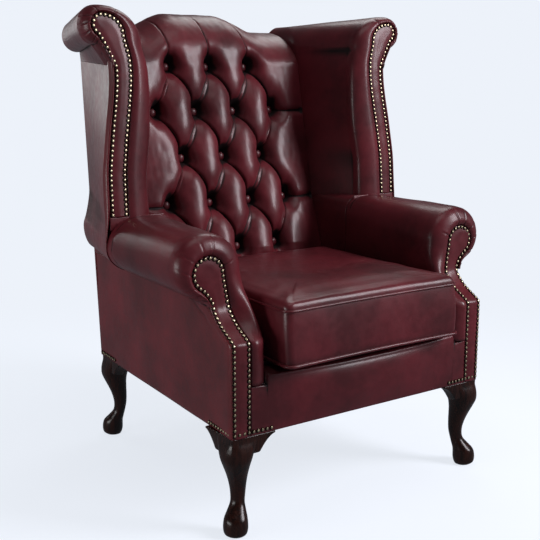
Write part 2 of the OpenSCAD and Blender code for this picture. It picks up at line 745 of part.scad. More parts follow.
seat_long_straps = 5;
seat_cross_straps = 4;
module seat_webbing() color(jute) {
    long_start = front_rail_y;
    long_end = back_inner_y(rail_top);
    long_pitch = 2 * front_rail_half / (seat_long_straps + 0.2);
    for (i = [0:seat_long_straps - 1])
        translate([(i - (seat_long_straps - 1) / 2) * long_pitch - strap_w / 2, long_start, rail_top])
            cube([strap_w, long_end - long_start, strap_t]);
    cross_pitch = (rear_block_y - front_block_y) / (seat_cross_straps + 1);
    for (i = [0:seat_cross_straps - 1]) {
        y = front_block_y + cross_pitch * (i + 0.6);
        half = frame_x(y + strap_w) + timber / 2;
        translate([-half, y, rail_top + strap_t]) cube([2 * half, strap_w, strap_t]);
    }
}

back_across_straps = 5;
back_up_straps = 3;
strap_tack = 5;
module back_webbing() color(jute) {
    low = lower_rail_low;
    high = crest_rail_top;
    lean = atan((post_front_y(high) - post_front_y(low)) / (high - low));
    long = (high - low) / cos(lean) - strap_t;
    translate([0, post_front_y(low), low]) rotate([-lean, 0, 0]) {
        for (i = [0:back_across_straps - 1])
            translate([-post_x - strap_tack, -strap_t, long * (i + 0.6) / (back_across_straps + 0.6)])
                cube([2 * (post_x + strap_tack), strap_t, strap_w]);
        for (i = [0:back_up_straps - 1])
            translate([(i - 1) * 2.6 * strap_w - strap_w / 2, -2 * strap_t, 0])
                cube([strap_w, strap_t, long]);
    }
}

// Inside back

column_share = 0.056457;
column_pitch = seat_half * column_share;
last_button_row = 16;
lounge_low = cushion_high + low_row_rise;
row_step = (top_row - lounge_low) / last_button_row;
side_column_count = 18;
lining_y = 2 * strap_t + soft_gap;

// Grid places of a point: columns from the middle and rows down from the top buttons
function grid_row(z) = (top_row - z) / row_step;

// Outer limit of the buttoned field, in columns, at a grid row
function field_edge(row) = let (m = row % 8) 8 + 4 * (1 - abs((m < 0 ? m + 8 : m) - 4) / 4);

pleat_depth = 20;
side_pleat_depth = 9;
crest_pleat_depth = 13;
pit_reach = 16;
pit_widening_share = 0.45;

function nearest_line(v) = abs(v - round(v));
function pleat_share(col, row) =
    1 - sqrt(abs(sin(180 * nearest_line((col + row) / 8)) * sin(180 * nearest_line((col - row) / 8))));
function crest_pleat_share(col) = 1 - eased(min(abs(col), abs(abs(col) - 8)) / 2.6);
function side_pleat_share(col, row) =
    let (out = abs(col) - field_edge(row), near = min(abs(row - 4), abs(row - 12)))
    (1 - eased(out / 3.5)) * 0.7 + (1 - eased(near / 1.6)) * 0.6;
function is_button(col, row) =
    row >= 0 && row <= last_button_row && row % 4 == 0 && (col + row) % 8 == 0 && abs(col) <= 12;
function button_rows() = [for (r = [0:4:last_button_row]) r];
function buttons_in_row(row) = (row / 4) % 2 == 0 ? [-8, 0, 8] : [-12, -4, 4, 12];
function pit_distance(x, z) = min([
    for (row = button_rows(), col = buttons_in_row(row))
        norm([(x - col * column_pitch) * pit_widening_share, z - (top_row - row * row_step)])
]);

// How deep the leather lies below the top of its padding
function tuft(x, z) =
    let (col = x / column_pitch, row = grid_row(z))
    let (low = eased((z - cushion_high + 2 * row_step) / (2 * row_step)))
    let (pit = (tuft_depth - pleat_depth) * exp(-pow(pit_distance(x, z) / pit_reach, 1.3)))
    low * (pit + (
        row < 0 ? crest_pleat_depth * crest_pleat_share(col) * (1 - limited(-row / 6)) :
        abs(col) <= field_edge(row) + 0.01 ? pleat_depth * pleat_share(col, row) :
        side_pleat_depth * side_pleat_share(col, row)));

// Front of the padding on the middle line, and over the whole width
function lounge_line(z) = lounge_y + (max(z, lounge_low) - arm_height) * recline;
function lounge_face(x, z) =
    mix(lounge_line(z), crease_y(z), pow(limited(abs(x) / seat_half), 3));

// The leather's face, which keeps a little padding in front of the webbing
least_padding = 4;
function face_y(x, z) =
    min(lounge_face(x, z) + tuft(x, z), post_front_y(z) - lining_y - least_padding);

crest_flat = 80;
crest_slope = 88;
function crest_z(x) = crest_height - crest_drop * eased((abs(x) - crest_flat) / crest_slope);
crest_round = 62;
crest_ridge_in = 54;
crest_ridge_y = back_y(crest_height) - crest_ridge_in;
crest_back_drop = 25;
crest_angles = [155, 130, 105, 80, 50, 15];
low_row_shares = [0, 0.35, 0.7, 0.94];
upper_row_count = 3;
back_foot = rail_top + 2 * strap_t + 2 * soft_gap;

function column_x(i) =
    let (c = i - side_column_count) abs(c) == side_column_count ? sign(c) * clear_half : c * column_pitch;
back_rows = len(low_row_shares) + last_button_row + 1 + upper_row_count + len(crest_angles) + 1;
first_grid_row = len(low_row_shares);
first_upper_row = first_grid_row + last_button_row + 1;
first_crest_row = first_upper_row + upper_row_count;

function crest_point(x, a) =
    let (top = crest_z(x), z0 = top - crest_round, y0 = lounge_face(x, z0))
    let (y1 = back_inner_y(top) - soft_gap)
    let (wave = crest_pleat_depth * 0.35 * crest_pleat_share(x / column_pitch))
    a > 90 ? [x, mix(crest_ridge_y, y0, abs(cos(a))), z0 + crest_round * sin(a) - wave] :
    [x, mix(crest_ridge_y, y1, cos(a)), top - crest_back_drop * (1 - sin(a)) - wave * sin(a)];

function back_point(i, r) =
    let (x = column_x(i))
    let (z = r < first_grid_row ? mix(back_foot, top_row - last_button_row * row_step, low_row_shares[r])
        : r < first_upper_row ? top_row - (last_button_row - r + first_grid_row) * row_step
        : mix(top_row, crest_z(x) - crest_round, (r - first_upper_row + 1) / upper_row_count))
    r == back_rows - 1
        ? [x, back_inner_y(crest_rail_top) - soft_gap, crest_rail_top + crest_back_drop / 2]
    : r >= first_crest_row ? crest_point(x, crest_angles[r - first_crest_row])
    : [x, face_y(x, z), z];

function back_lining(r) =
    let (z = min(back_point(0, r)[2], crest_rail_top - strap_t))
    let (t = (r - first_crest_row) / (back_rows - 1 - first_crest_row))
    r < first_crest_row ? [post_front_y(z) - lining_y, z]
    : [mix(post_front_y(crest_rail_top) - lining_y, back_inner_y(crest_rail_top) - soft_gap, t),
       crest_rail_top + soft_gap];

module inside_back() color(leather) {
    cols = 2 * side_column_count + 1;
    n = cols + 2;
    points = [
        for (r = [0:back_rows - 1]) each concat(
            [for (i = [0:cols - 1]) back_point(i, r)],
            [for (s = [1, -1]) [s * clear_half, back_lining(r)[0], back_lining(r)[1]]]
        )
    ];
    // Each cell is split along the fold that runs across it
    cells = [
        for (r = [0:back_rows - 2], k = [0:n - 1])
            let (a = r * n + k, b = r * n + (k + 1) % n, c = k - side_column_count, g = r - first_grid_row)
            let (rising = (c + last_button_row - g) % 8 == 0 || (c + last_button_row - g) % 4 != 3)
            each rising && (c - g + 8 * last_button_row) % 8 != 0
                ? [[a, b, a + n], [b, b + n, a + n]]
                : [[a, b, b + n], [a, b + n, a + n]]
    ];
    middle = [for (r = [0, back_rows - 1]) [0, (points[r * n][1] + back_lining(r)[0]) / 2,
        (points[r * n][2] + back_lining(r)[1]) / 2]];
    near = [for (k = [0:n - 1]) [(k + 1) % n, k, back_rows * n]];
    far = [for (k = [0:n - 1])
        [(back_rows - 1) * n + k, (back_rows - 1) * n + (k + 1) % n, back_rows * n + 1]];
    closed_solid(concat(points, middle), concat(cells, near, far));
}

button_stem_r = 2.5;
button_stem = 8;
button_seat = 13.5;
button_rise = 4;
// A covered button on its stem, which the back of the padding holds
module button() {
    r = button_d / 2;
    rotate_extrude($fn = 32) polygon([
        [0, 0], [button_stem_r, 0], [button_stem_r, button_stem], [r, button_seat],
        [r, button_seat + button_rise / 3], [r * 0.8, button_seat + button_rise * 0.75],
        [0, button_seat + button_rise]
    ]);
}
module back_buttons() color(leather)
    for (row = button_rows(), col = buttons_in_row(row)) {
        x = col * column_pitch;
        z = top_row - row * row_step;
        translate([x, face_y(x, z) - 2 * soft_gap, z]) rotate([90, 0, 0]) button();
    }

outside_back_steps = 24;
module outside_back() color(leather) {
    lean = atan(back_lean);
    half = base_rear - soft_gap;
    head = wing_tail - 2 * neck_step;
    top = [for (i = [0:outside_back_steps])
        let (x = mix(seat_half, -seat_half, i / outside_back_steps))
        [x, (crest_z(x) - crest_back_drop / 2 - base_height) / cos(lean)]];
    shoulder = (wing_neck_z + wing_roll / 2 - base_height) / cos(lean);
    translate([0, rear_reach, base_height]) rotate([90 - lean, 0, 0])
        linear_extrude(height = cover_t * cos(lean))
            polygon(concat([[-half, 0], [half, 0], [head, shoulder]], top, [[-head, shoulder]]));
}

// Nails

// A domed nail head, cut flat behind
module nail() intersection() {
    r = (pow(nail_d / 2, 2) + pow(nail_rise, 2)) / (2 * nail_rise);
    translate([0, 0, nail_rise - r]) sphere(r = r, $fn = 32);
    translate([-nail_d, -nail_d, 0]) cube([2 * nail_d, 2 * nail_d, 2 * nail_rise]);
}
// Puts a child at each place, which the child reads as $at
module at_each(places) for (p = places) {
    $at = p;
    children();
}
// Nails whose heads face forwards, at points of (x, z) on a front that leans by the angle
module front_nail(p, y, lean = 0) translate([p[0], y, p[1]]) rotate([90 + lean, 0, 0]) nail();

nail_inset = 5;
function drawn_in(path, d) = [
    for (i = [0:len(path) - 1])
        let (a = path[max(i - 1, 0)], b = path[min(i + 1, len(path) - 1)], n = norm(b - a))
        path[i] + [b[1] - a[1], a[0] - b[0]] / n * d
];

base_nail_z = base_height + 1.8 * nail_inset;
arm_nail_foot = base_nail_z + nail_pitch;
arm_nail_path = drawn_in(concat([[facing_in, arm_nail_foot]], arm_edge,
    [[base_front, neck_height - neck_step], [base_front, arm_nail_foot]]), nail_inset);
// A nail lies on its front, and at a bend of the front it bears on the bend or on its rim
module arm_nails() color(brass) at_each(steps_along(arm_nail_path, nail_pitch)) {
    z = $at[1];
    r = nail_d / 2;
    slope = (arm_front(z + r) - arm_front(z - r)) / nail_d;
    rests = [for (d = [-r, 0, r, max(-r, min(r, knee_height - z)), max(-r, min(r, neck_height - z))])
        arm_front(z + d) - slope * d];
    front_nail($at, min(rests), -atan(slope));
}

wing_nail_path = drawn_in(concat(wing_edge, wing_outer_line(0)), nail_inset);
module wing_nails() color(brass)
    at_each(steps_along(
        [for (p = wing_nail_path) [p[0], max(p[1], wing_foot_z + nail_inset)]], nail_pitch))
        front_nail($at, wing_front($at[1]), -atan(wing_lean));

base_nail_run = 100;
module base_nails() color(brass) both_sides() {
    corner_x = base_front - nail_inset;
    inner_x = facing_in + nail_inset;
    facing_gaps = round((corner_x - inner_x) / nail_pitch);
    for (i = [0:facing_gaps])
        front_nail([mix(corner_x, inner_x, i / facing_gaps), base_nail_z], -front_reach);
    count = floor((base_nail_run - arm_strip) / nail_pitch);
    for (i = [1:count]) {
        x = inner_x - i * nail_pitch;
        front_nail([x, base_nail_z], border_foot_y(x) - 2 * soft_gap, atan(border_foot_lean(x)));
    }
    for (i = [0:count + facing_gaps], back = [0, 1]) {
        step = facing_t + nail_d / 2 + i * nail_pitch;
        translate([base_front, -front_reach, 0]) rotate([0, 0, splay])
            translate([0, back == 0 ? step : side_length - step, base_nail_z]) rotate([0, 90, 0]) nail();
    }
}

// Seat

border_bulge = 18;
lip_drop = 9;
lip_z = deck_height - lip_drop;
lip_back = front_block_y + facing_t + soft_gap;
border_end = facing_in - soft_gap;
border_shoulder = base_front - base_nail_run - nail_inset;
border_xs = [border_end, seat_half + neck_step / 2, clear_half - neck_step / 2, border_shoulder,
    seat_half * 0.6, seat_half * 0.25];
// How far the border stands out of the arm fronts, in shares of its bulge
border_flat_share = 0.32;
function border_out(i) =
    i < 4 ? border_flat_share * (border_end - border_xs[i]) / (border_end - border_shoulder) :
    i == 4 ? 0.8 : 1;
// Height and depth of the border's front, in shares, from its foot to its lip
border_up_shares = [0, 0.02, 0.14, 0.35, 0.55, 0.75, 0.88, 0.96, 1, 1];
border_fore_shares = [-0.2, 0, 0.35, 0.8, 1, 1, 0.75, 0.25, -2.4, 0];

// Place of the border's face behind a base nail, and how far it leans forward there
function border_foot_run(x) =
    border_bulge * border_flat_share * border_fore_shares[2] * (border_end - x)
    / (border_end - border_shoulder) / (border_up_shares[2] - border_up_shares[1]);
function border_foot_lean(x) = border_foot_run(x) / (lip_z - base_height);
function border_foot_y(x) =
    let (t = (base_nail_z - base_height) / (lip_z - base_height))
    -front_reach - border_foot_run(x) * (t - border_up_shares[1]);
function border_ring(x, out, full) =
    let (face = -front_reach - border_bulge * out, top = full ? lip_z : arm_foot - soft_gap)
    [for (k = [0:9])
        let (fore = border_fore_shares[k], z = mix(base_height, top, border_up_shares[k]))
        k == 9 && full ? [x, lip_back, z]
        : k < 8 || full
            ? [x, fore >= 0 ? mix(-front_reach, face, fore) : -front_reach - fore * facing_t, z]
        : [x, -front_reach + facing_t * (k == 8 ? 0.4 : 0.8), z]];
function border_back(x, full) =
    let (y = front_rail_y - soft_gap, z = rail_top + strap_t + soft_gap, low = base_height)
    [for (k = [0:9])
        full
            ? (k < 8 ? [x, y, mix(low, z, k / 7)] : [x, mix(y, lip_back, (k - 7) / 2), z])
            : [x, y, k < 8 ? mix(low, z, k / 7) : mix(z, arm_foot - 2 * soft_gap, (k - 7) / 2)]];
module front_border() color(leather) {
    half = [for (i = [0:5]) let (x = border_xs[i]) [x < clear_half, border_out(i), x]];
    stations = concat([for (i = [0:5]) [half[i][2], half[i][0], half[i][1]]],
        [for (i = [5:-1:0]) [-half[i][2], half[i][0], half[i][1]]]);
    padded_form([for (s = stations) border_ring(s[0], s[2], s[1])],
        [for (s = stations) border_back(s[0], s[1])]);
}

cushion_back_gap = 9;
cushion_back = lounge_line(lounge_low) - cushion_back_gap;
module seat_deck() color(leather)
    translate([-clear_half, lip_back + soft_gap, rail_top + 2 * strap_t + soft_gap])
        cube([2 * clear_half, lounge_line(lounge_low) - lip_back - 2 * soft_gap,
            deck_height - rail_top - 2 * strap_t - soft_gap]);

// Cushion

cushion_half = seat_half - cushion_side_gap;
cushion_reach = front_reach + cushion_overhang;
cushion_swell = 2;
cushion_lean = 8;
cushion_corner = 16;
cushion_draw = 5;
cushion_skin = 3;
groove = 6;
groove_half = 6.5;
corner_steps = 3;
side_steps = 6;

function cushion_front(z) =
    -cushion_reach - cushion_lean * limited((cushion_high - z) / (cushion_high - cushion_low));
// Outline of the cushion at a height, drawn in between its corners and set in all round
function cushion_outline(z, inset, shrink = 0) =
    let (w = cushion_half - inset, f = cushion_front(z) + inset, b = cushion_back - inset)
    let (r = cushion_corner, mid = (f + b) / 2, s = 1 - shrink)
    let (corners = [[-w + r, f + r, 180], [w - r, f + r, 270], [w - r, b - r, 0], [-w + r, b - r, 90]])
    let (ring = [
        for (q = [0:3])
            let (c = corners[q], d = corners[(q + 1) % 4], pull = q == 2 ? 0 : cushion_draw)
            each concat(
                [for (i = [0:corner_steps]) let (a = c[2] + 90 * i / corner_steps)
                    [c[0] + r * cos(a), c[1] + r * sin(a)]],
                [for (i = [1:side_steps - 1])
                    let (t = i / side_steps, a = c[2] + 90)
                    let (out = [r * cos(a), r * sin(a)])
                    mix([c[0], c[1]] + out, [d[0], d[1]] + out, t)
                    - [cos(a), sin(a)] * pull * sin(180 * t)])
    ])
    [for (p = ring) [p[0] * s, mid + (p[1] - mid) * s, z]];

crown_shares = [0, 0.45, 0.68, 0.84, 0.95];
crown_in_shares = [0, 0.06, 0.2, 0.42, 0.7];
function cushion_rings(skin) =
    let (low = cushion_low, high = cushion_high, g = groove_half, crown = cushion_crown - skin)
    concat(
        [cushion_outline(deck_height + soft_gap + skin, skin, 0.15)],
        [cushion_outline(deck_height + soft_gap + skin, skin + 2 * groove)],
        [cushion_outline(low, groove + skin)],
        [cushion_outline(low + g, skin)],
        [cushion_outline((low + high) / 2, skin - cushion_swell)],
        [cushion_outline(high - g, skin)],
        [cushion_outline(high, groove + skin)],
        [for (i = [0:len(crown_shares) - 1])
            let (ring = cushion_outline(high, skin, crown_in_shares[i]))
            let (z = high + mix(g, crown, crown_shares[i]))
            [for (p = ring) [p[0], p[1], z]]]
    );

zip_margin = 25;
zip_length = 2 * (cushion_half - zip_margin);
zip_z = (cushion_low + cushion_high) / 2;
zip_face = cushion_back + cushion_swell;
slot_half = 5;
module cushion_cover() color(leather) difference() {
    lofted_form(cushion_rings(0));
    lofted_form(cushion_rings(cushion_skin));
    translate([-zip_length / 2 + cushion_corner, cushion_back - 3 * cushion_skin, zip_z - slot_half])
        cube([zip_length - 2 * cushion_corner, 6 * cushion_skin, 2 * slot_half]);
}
module cushion_core() color(foam) lofted_form(cushion_rings(cushion_skin + soft_gap));

piping_sides = 6;
piping_in = 0.5;
module piping(z) color(leather) {
    path = cushion_outline(z, piping_in);
    n = len(path);
    r = piping_d / 2 - soft_gap;
    points = [
        for (i = [0:n - 1])
            let (a = path[(i + n - 1) % n], b = path[(i + 1) % n], d = (b - a) / norm(b - a))
            for (k = [0:piping_sides - 1])
                path[i] + [d[1], -d[0], 0] * r * cos(360 * k / piping_sides)
                + [0, 0, r * sin(360 * k / piping_sides)]
    ];
    m = piping_sides;
    faces = [
        for (i = [0:n - 1], k = [0:m - 1])
            let (a = i * m + k, b = i * m + (k + 1) % m)
            let (c = ((i + 1) % n) * m + k, d = ((i + 1) % n) * m + (k + 1) % m)
            each [[a, b, d], [a, d, c]]
    ];
    closed_solid(points, faces);
}
module cushion_piping_top() piping(cushion_high);
module cushion_piping_bottom() piping(cushion_low);

tape_half = 13;
tape_t = 1.2;
bead_half = 2.5;
bead_t = 2;
module zip_tape() color(brass) {
    translate([-zip_length / 2, zip_face, zip_z - tape_half])
        cube([zip_length, tape_t, 2 * tape_half]);
    translate([-zip_length / 2, zip_face + tape_t, zip_z - bead_half])
        cube([zip_length, bead_t, 2 * bead_half]);
}

slider_length = 12;
slider_height = 13;
slider_t = 4;
slider_gap = 0.4;
pull_length = 18;
pull_t = 1.2;
slider_margin = 10;
module zip_slider() color(brass) {
    x = slider_margin - zip_length / 2;
    y = zip_face + tape_t + slider_gap;
    difference() {
        translate([x, y, zip_z - slider_height / 2]) cube([slider_length, slider_t, slider_height]);
        translate([x - over, y - over, zip_z - bead_half - slider_gap])
            cube([slider_length + 2 * over, bead_t + over, 2 * (bead_half + slider_gap)]);
    }
    translate([x + slider_length / 4, y + slider_t - pull_t, zip_z - slider_height / 2 - pull_length])
        cube([slider_length / 2, pull_t, pull_length + slider_height / 4]);
}

// Legs

leg_half = leg_top / 2;
leg_ring_count = 16;
// Height of each section of the leg in shares of its length, how far it stands out across
// the corner in shares of the foot's reach, its radius, and how square it is
leg_high_shares = [0, 0.025, 0.07, 0.13, 0.18, 0.24, 0.31, 0.4, 0.5, 0.6, 0.69, 0.77, 0.84, 0.9, 0.95, 1];
leg_out_shares = [1, 1.02, 1, 0.97, 0.92, 0.88, 0.83, 0.76, 0.68, 0.6, 0.52, 0.42, 0.3, 0.15, 0.03, 0];
leg_fat_shares = [0.28, 0.75, 1, 0.8, 0.4, 0.06, 0, 0.08, 0.22, 0.42, 0.66, 0.9, 1, 1, 0.98, 0.98];
leg_square_shares = [1, 1, 1, 1, 1, 1, 1, 1, 1, 0.98, 0.94, 0.86, 0.72, 0.5, 0.3, 0.12];

function leg_radius(i) =
    i < 6 ? mix(ankle_r, foot_r, leg_fat_shares[i]) : mix(ankle_r, leg_half, leg_fat_shares[i]);
function leg_ring(i) =
    let (r = leg_radius(i), out = foot_out * leg_out_shares[i] / sqrt(2), sq = leg_square_shares[i])
    [for (k = [0:leg_ring_count - 1])
        let (a = 360 * (k + 0.5) / leg_ring_count, u = [cos(a), sin(a)])
        let (p = [for (v = u) sign(v) * pow(abs(v), sq)] * r)
        [p[0] + out, p[1] + out, leg_high_shares[i] * base_height]];

// A leg at its corner, with its foot turned out along +X and +Y
module leg_shape() {
    lofted_form([for (i = [0:len(leg_high_shares) - 1]) leg_ring(i)]);
}
front_leg_at = [base_front - leg_half, leg_half - front_reach];
rear_leg_at = [base_rear - leg_half - soft_gap, back_inner_y(base_height) - leg_half];
bolt_in = 14;
front_bolt_at = front_leg_at + [-bolt_in, bolt_in];
rear_bolt_at = rear_leg_at - [bolt_in, bolt_in];
bolt_r = 4;
bolt_fit = 0.2;
bolt_up = 40;
bolt_down = 40;
module bolt_holes() {
    for (p = [front_bolt_at, rear_bolt_at])
        translate([p[0], p[1], base_height - bolt_down - bolt_fit])
            cylinder(r = bolt_r + bolt_fit, h = bolt_down + bolt_up + 2 * bolt_fit, $fn = 32);
}
module leg_bolts() color("silver") both_sides()
    for (p = [front_bolt_at, rear_bolt_at])
        translate([p[0], p[1], base_height - bolt_down])
            cylinder(r = bolt_r, h = bolt_down + bolt_up, $fn = 32);

module front_leg() color(mahogany) difference() {
    translate([front_leg_at[0], front_leg_at[1], 0]) mirror([0, 1, 0]) leg_shape();
    bolt_holes();
}
module rear_leg() color(mahogany) difference() {
    translate([rear_leg_at[0], rear_leg_at[1], 0]) leg_shape();
    bolt_holes();
}

ear_t = 24;
ear_deep = 40;
ear_thin = 7;
// A knee block seen from the front: deep beside the leg and swept up to a thin end
module knee_block(length) {
    rotate([90, 0, 0]) translate([0, 0, -ear_t]) linear_extrude(height = ear_t)
        polygon(concat([[0, 0], [length, 0], [length, -ear_thin]],
            [for (i = [0:6]) let (t = i / 6)
                [length * (1 - t) * 0.92, -ear_thin - (ear_deep - ear_thin) * (1 - cos(90 * t))]]));
}
module knee_blocks() color(mahogany) both_sides() {
    translate([front_leg_at[0] - leg_half, -front_reach, base_height])
        mirror([1, 0, 0]) knee_block(ear_length);
    translate([front_leg_at[0] + leg_half, front_leg_at[1] + leg_half, base_height])
        rotate([0, 0, 90]) knee_block(ear_length);
    translate([rear_leg_at[0] + leg_half, rear_leg_at[1] - leg_half, base_height])
        mirror([0, 1, 0]) rotate([0, 0, 90]) knee_block(ear_length);
    translate([rear_leg_at[0] - leg_half, rear_leg_at[1] + leg_half, base_height])
        mirror([1, 0, 0]) mirror([0, 1, 0]) knee_block(ear_length);
}

dust_in = 14;
dust_notch = leg_top + ear_length + dust_in;
module dust_cover() color(felt) translate([0, 0, base_height - dust_t]) linear_extrude(height = dust_t)
    difference() {
        polygon([
            [-base_front + dust_in, dust_in - front_reach], [base_front - dust_in, dust_in - front_reach],
            [base_rear - dust_in, rear_reach - dust_in], [dust_in - base_rear, rear_reach - dust_in]
        ]);
        for (s = [-1, 1]) {
            translate([s * base_front, -front_reach]) square(2 * dust_notch, center = true);
            translate([s * base_rear, rear_reach]) square(2 * dust_notch, center = true);
        }
    }

module on_left() children();
module on_right() mirror([1, 0, 0]) children();

front_seat_rail();
rear_seat_rail();
on_left() side_seat_rail();  // left_seat_rail
on_right() side_seat_rail();  // right_seat_rail
corner_blocks();
on_left() arm_post();  // left_arm_post
on_right() arm_post();  // right_arm_post
on_left() arm_rail();  // left_arm_rail
on_right() arm_rail();  // right_arm_rail
on_left() back_post();  // left_back_post
on_right() back_post();  // right_back_post
crest_rail();
lower_back_rail();
on_left() wing_post();  // left_wing_post
on_right() wing_post();  // right_wing_post
on_left() wing_rail();  // left_wing_rail
on_right() wing_rail();  // right_wing_rail
seat_webbing();
back_webbing();
on_left() front_leg();  // front_left_leg
on_right() front_leg();  // front_right_leg
on_left() rear_leg();  // rear_left_leg
on_right() rear_leg();  // rear_right_leg
knee_blocks();
leg_bolts();
seat_deck();
front_border();
inside_back();
back_buttons();
outside_back();
on_left() inside_arm();  // left_inside_arm
on_right() inside_arm();  // right_inside_arm
on_left() outside_arm();  // left_outside_arm
on_right() outside_arm();  // right_outside_arm
on_left() arm_facing();  // left_arm_facing
on_right() arm_facing();  // right_arm_facing
on_left() arm_nails();  // left_arm_nails
on_right() arm_nails();  // right_arm_nails
on_left() inside_wing();  // left_inside_wing
on_right() inside_wing();  // right_inside_wing
on_left() outside_wing();  // left_outside_wing
on_right() outside_wing();  // right_outside_wing
on_left() wing_facing();  // left_wing_facing
on_right() wing_facing();  // right_wing_facing
on_left() wing_nails();  // left_wing_nails
on_right() wing_nails();  // right_wing_nails
base_nails();
dust_cover();
cushion_core();
cushion_cover();
cushion_piping_top();
cushion_piping_bottom();
zip_tape();
zip_slider();
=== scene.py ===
"""A button-backed leather wing chair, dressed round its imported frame.

Lengths in the shapes are millimetres in the frame of the CAD model: Z is up, the chair faces -Y,
and the sitter's left is +X. A grid of points becomes a mesh in metres at the last moment.
"""

import json
import math

import bpy
import bmesh
import numpy as np
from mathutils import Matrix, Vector, noise


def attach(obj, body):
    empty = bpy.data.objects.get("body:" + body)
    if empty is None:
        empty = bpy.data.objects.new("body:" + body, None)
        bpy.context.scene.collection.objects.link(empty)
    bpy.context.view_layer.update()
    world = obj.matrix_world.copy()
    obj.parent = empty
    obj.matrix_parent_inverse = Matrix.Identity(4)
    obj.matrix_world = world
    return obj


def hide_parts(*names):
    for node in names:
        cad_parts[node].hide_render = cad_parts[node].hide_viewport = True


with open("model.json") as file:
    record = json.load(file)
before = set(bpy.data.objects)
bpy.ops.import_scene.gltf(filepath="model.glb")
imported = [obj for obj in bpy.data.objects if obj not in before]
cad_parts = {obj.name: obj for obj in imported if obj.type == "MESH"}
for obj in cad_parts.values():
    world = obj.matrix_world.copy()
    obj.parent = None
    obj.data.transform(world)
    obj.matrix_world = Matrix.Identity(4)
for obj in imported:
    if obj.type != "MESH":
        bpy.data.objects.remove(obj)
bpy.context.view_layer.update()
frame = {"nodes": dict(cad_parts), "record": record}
MM = 0.001

# Sizes of the chair, as in the CAD model
BASE_FRONT, BASE_REAR = 343.0, 293.0
FRONT, REAR, BASE_Z = 361.0, 343.5, 210.0
COVER, FACING, GAP = 6.0, 8.0, 0.3
SEAT_HALF = 255.5
ARM_TOP, ARM_ROLL, ARM_X = 612.0, 72.5, 345.0
ARM_FACE_Y, KNEE_Z, NECK_Z = -284.0, 403.0, 455.0
WING_TOP, WING_X, WING_TAIL = 1063.0, 400.0, 300.0
WING_FOOT_Y, WING_LEAN, WING_STRIP = 20.0, 0.065, 42.0
CREST_Z, CREST_DROP = 1067.0, 40.0
BACK_LEAN, RECLINE, LOUNGE_Y = 0.073, 0.322, 140.0
BUTTON_PITCH, ROW_PITCH, TOP_ROW = 115.4, 111.0, 935.0
NAIL_PITCH, NAIL_D, NAIL_RISE, NAIL_INSET = 10.7, 9.6, 3.0, 5.0
CUSHION_LOW, CUSHION_HIGH = 350.0, 461.0
SIDE_SLOPE = (BASE_FRONT - BASE_REAR) / (FRONT + REAR)
SPLAY = math.atan(SIDE_SLOPE)
WING_FOOT_Z = ARM_TOP + 2 * GAP

# Places of the leather that the solids have in a plainer form
PAD_FOOT, ARM_SHOULDER, ARM_ROLL_Z = 315.0, 532.0, 545.0
ARM_RISE = ARM_TOP - ARM_ROLL_Z
ROLL_UNDER, ROLL_UNDER_REAR = 465.0, 477.0
FACING_INNER_X = 299.0
COVE, KNEE_SOFT, NECK_SOFT = 5.5, 2.7, 10.0
WING_NECK, WING_SHOULDER, PAD_SHOULDER = 932.0, 1000.0, 984.0
TAIL_X, TAIL_Z, TAIL_R = 305.0, 1009.0, 38.0
RIDGE_Y, CREASE_FOOT, LOUNGE_FOOT = 380.0, 471.0, 491.0
ROUND_DEPTH = 34.0

# Rows of points in the outline of a rolled pad: up its inner line, round its roll, down to its neck
LINE_ROWS, ARC_ROWS, FALL_ROWS = 48, 110, 18


# Curves
def mix(a, b, t):
    """The value at share t of the way from a to b."""
    return a + (b - a) * t


def eased(t):
    """From 0 to 1 with a soft start and a soft end."""
    t = np.clip(t, 0, 1)
    return t * t * (3 - 2 * t)


def bell(x, width):
    """1 where x is 0, falling off on both sides over that width."""
    return np.exp(-(x / width)**2)


def points_at(*ways):
    """Points whose x, y and z, or x and z, are given apart."""
    return np.stack(np.broadcast_arrays(*ways), axis=-1)


def smooth(values, t):
    """Points at t, from 0 to 1, of a smooth curve through evenly spaced values."""
    v = np.asarray(values, float)
    n = len(v) - 1
    p = np.clip(np.asarray(t, float), 0, 1) * n
    i = np.clip(np.floor(p).astype(int), 0, n - 1)
    s = (p - i).reshape(p.shape + (1,) * (v.ndim - 1))
    a, b, c, d = v[np.maximum(i - 1, 0)], v[i], v[i + 1], v[np.minimum(i + 2, n)]
    square, cube = 2 * a - 5 * b + 4 * c - d, 3 * b - a - 3 * c + d
    return 0.5 * (2 * b + (c - a) * s + square * s**2 + cube * s**3)


def along(path, count):
    """count points at equal steps along a path."""
    path = np.asarray(path, float)
    d = np.concatenate([[0], np.cumsum(np.linalg.norm(np.diff(path, axis=0), axis=1))])
    at = np.linspace(0, d[-1], count)
    return points_at(*(np.interp(at, d, way) for way in path.T))


def side_x(y):
    """Half the width of the base at that depth."""
    return BASE_FRONT - (y + FRONT) * SIDE_SLOPE


def back_y(z):
    """Depth of the outside back at that height."""
    return REAR + (z - BASE_Z) * BACK_LEAN


def crease_y(z):
    """Depth of the crease between the inside back and the arm or wing, which bends at the arm's top."""
    h = np.maximum(z, CREASE_FOOT) - ARM_TOP
    return LOUNGE_Y + 33 + h * np.where(h < 0, 0.34, 0.19)


def arm_front(z):
    """The front of the arm: a hollow lean between the knee and the neck, its ends softened."""
    rise = NECK_Z - KNEE_Z
    slope = (ARM_FACE_Y + FRONT) / rise
    cove = COVE * np.sin(np.pi * np.clip((z - KNEE_Z) / rise, 0, 1))**2
    return -FRONT + slope * (soft_ramp(z - KNEE_Z, KNEE_SOFT) - soft_ramp(z - NECK_Z, NECK_SOFT)) + cove


def soft_ramp(u, width):
    """Zero before u = 0 and u after it, with a soft change."""
    return 0.5 * (u + np.sqrt(u * u + width * width))


def wing_front(z):
    """Depth of the wing's nailed front, which leans back."""
    return WING_FOOT_Y + (z - WING_FOOT_Z) * WING_LEAN


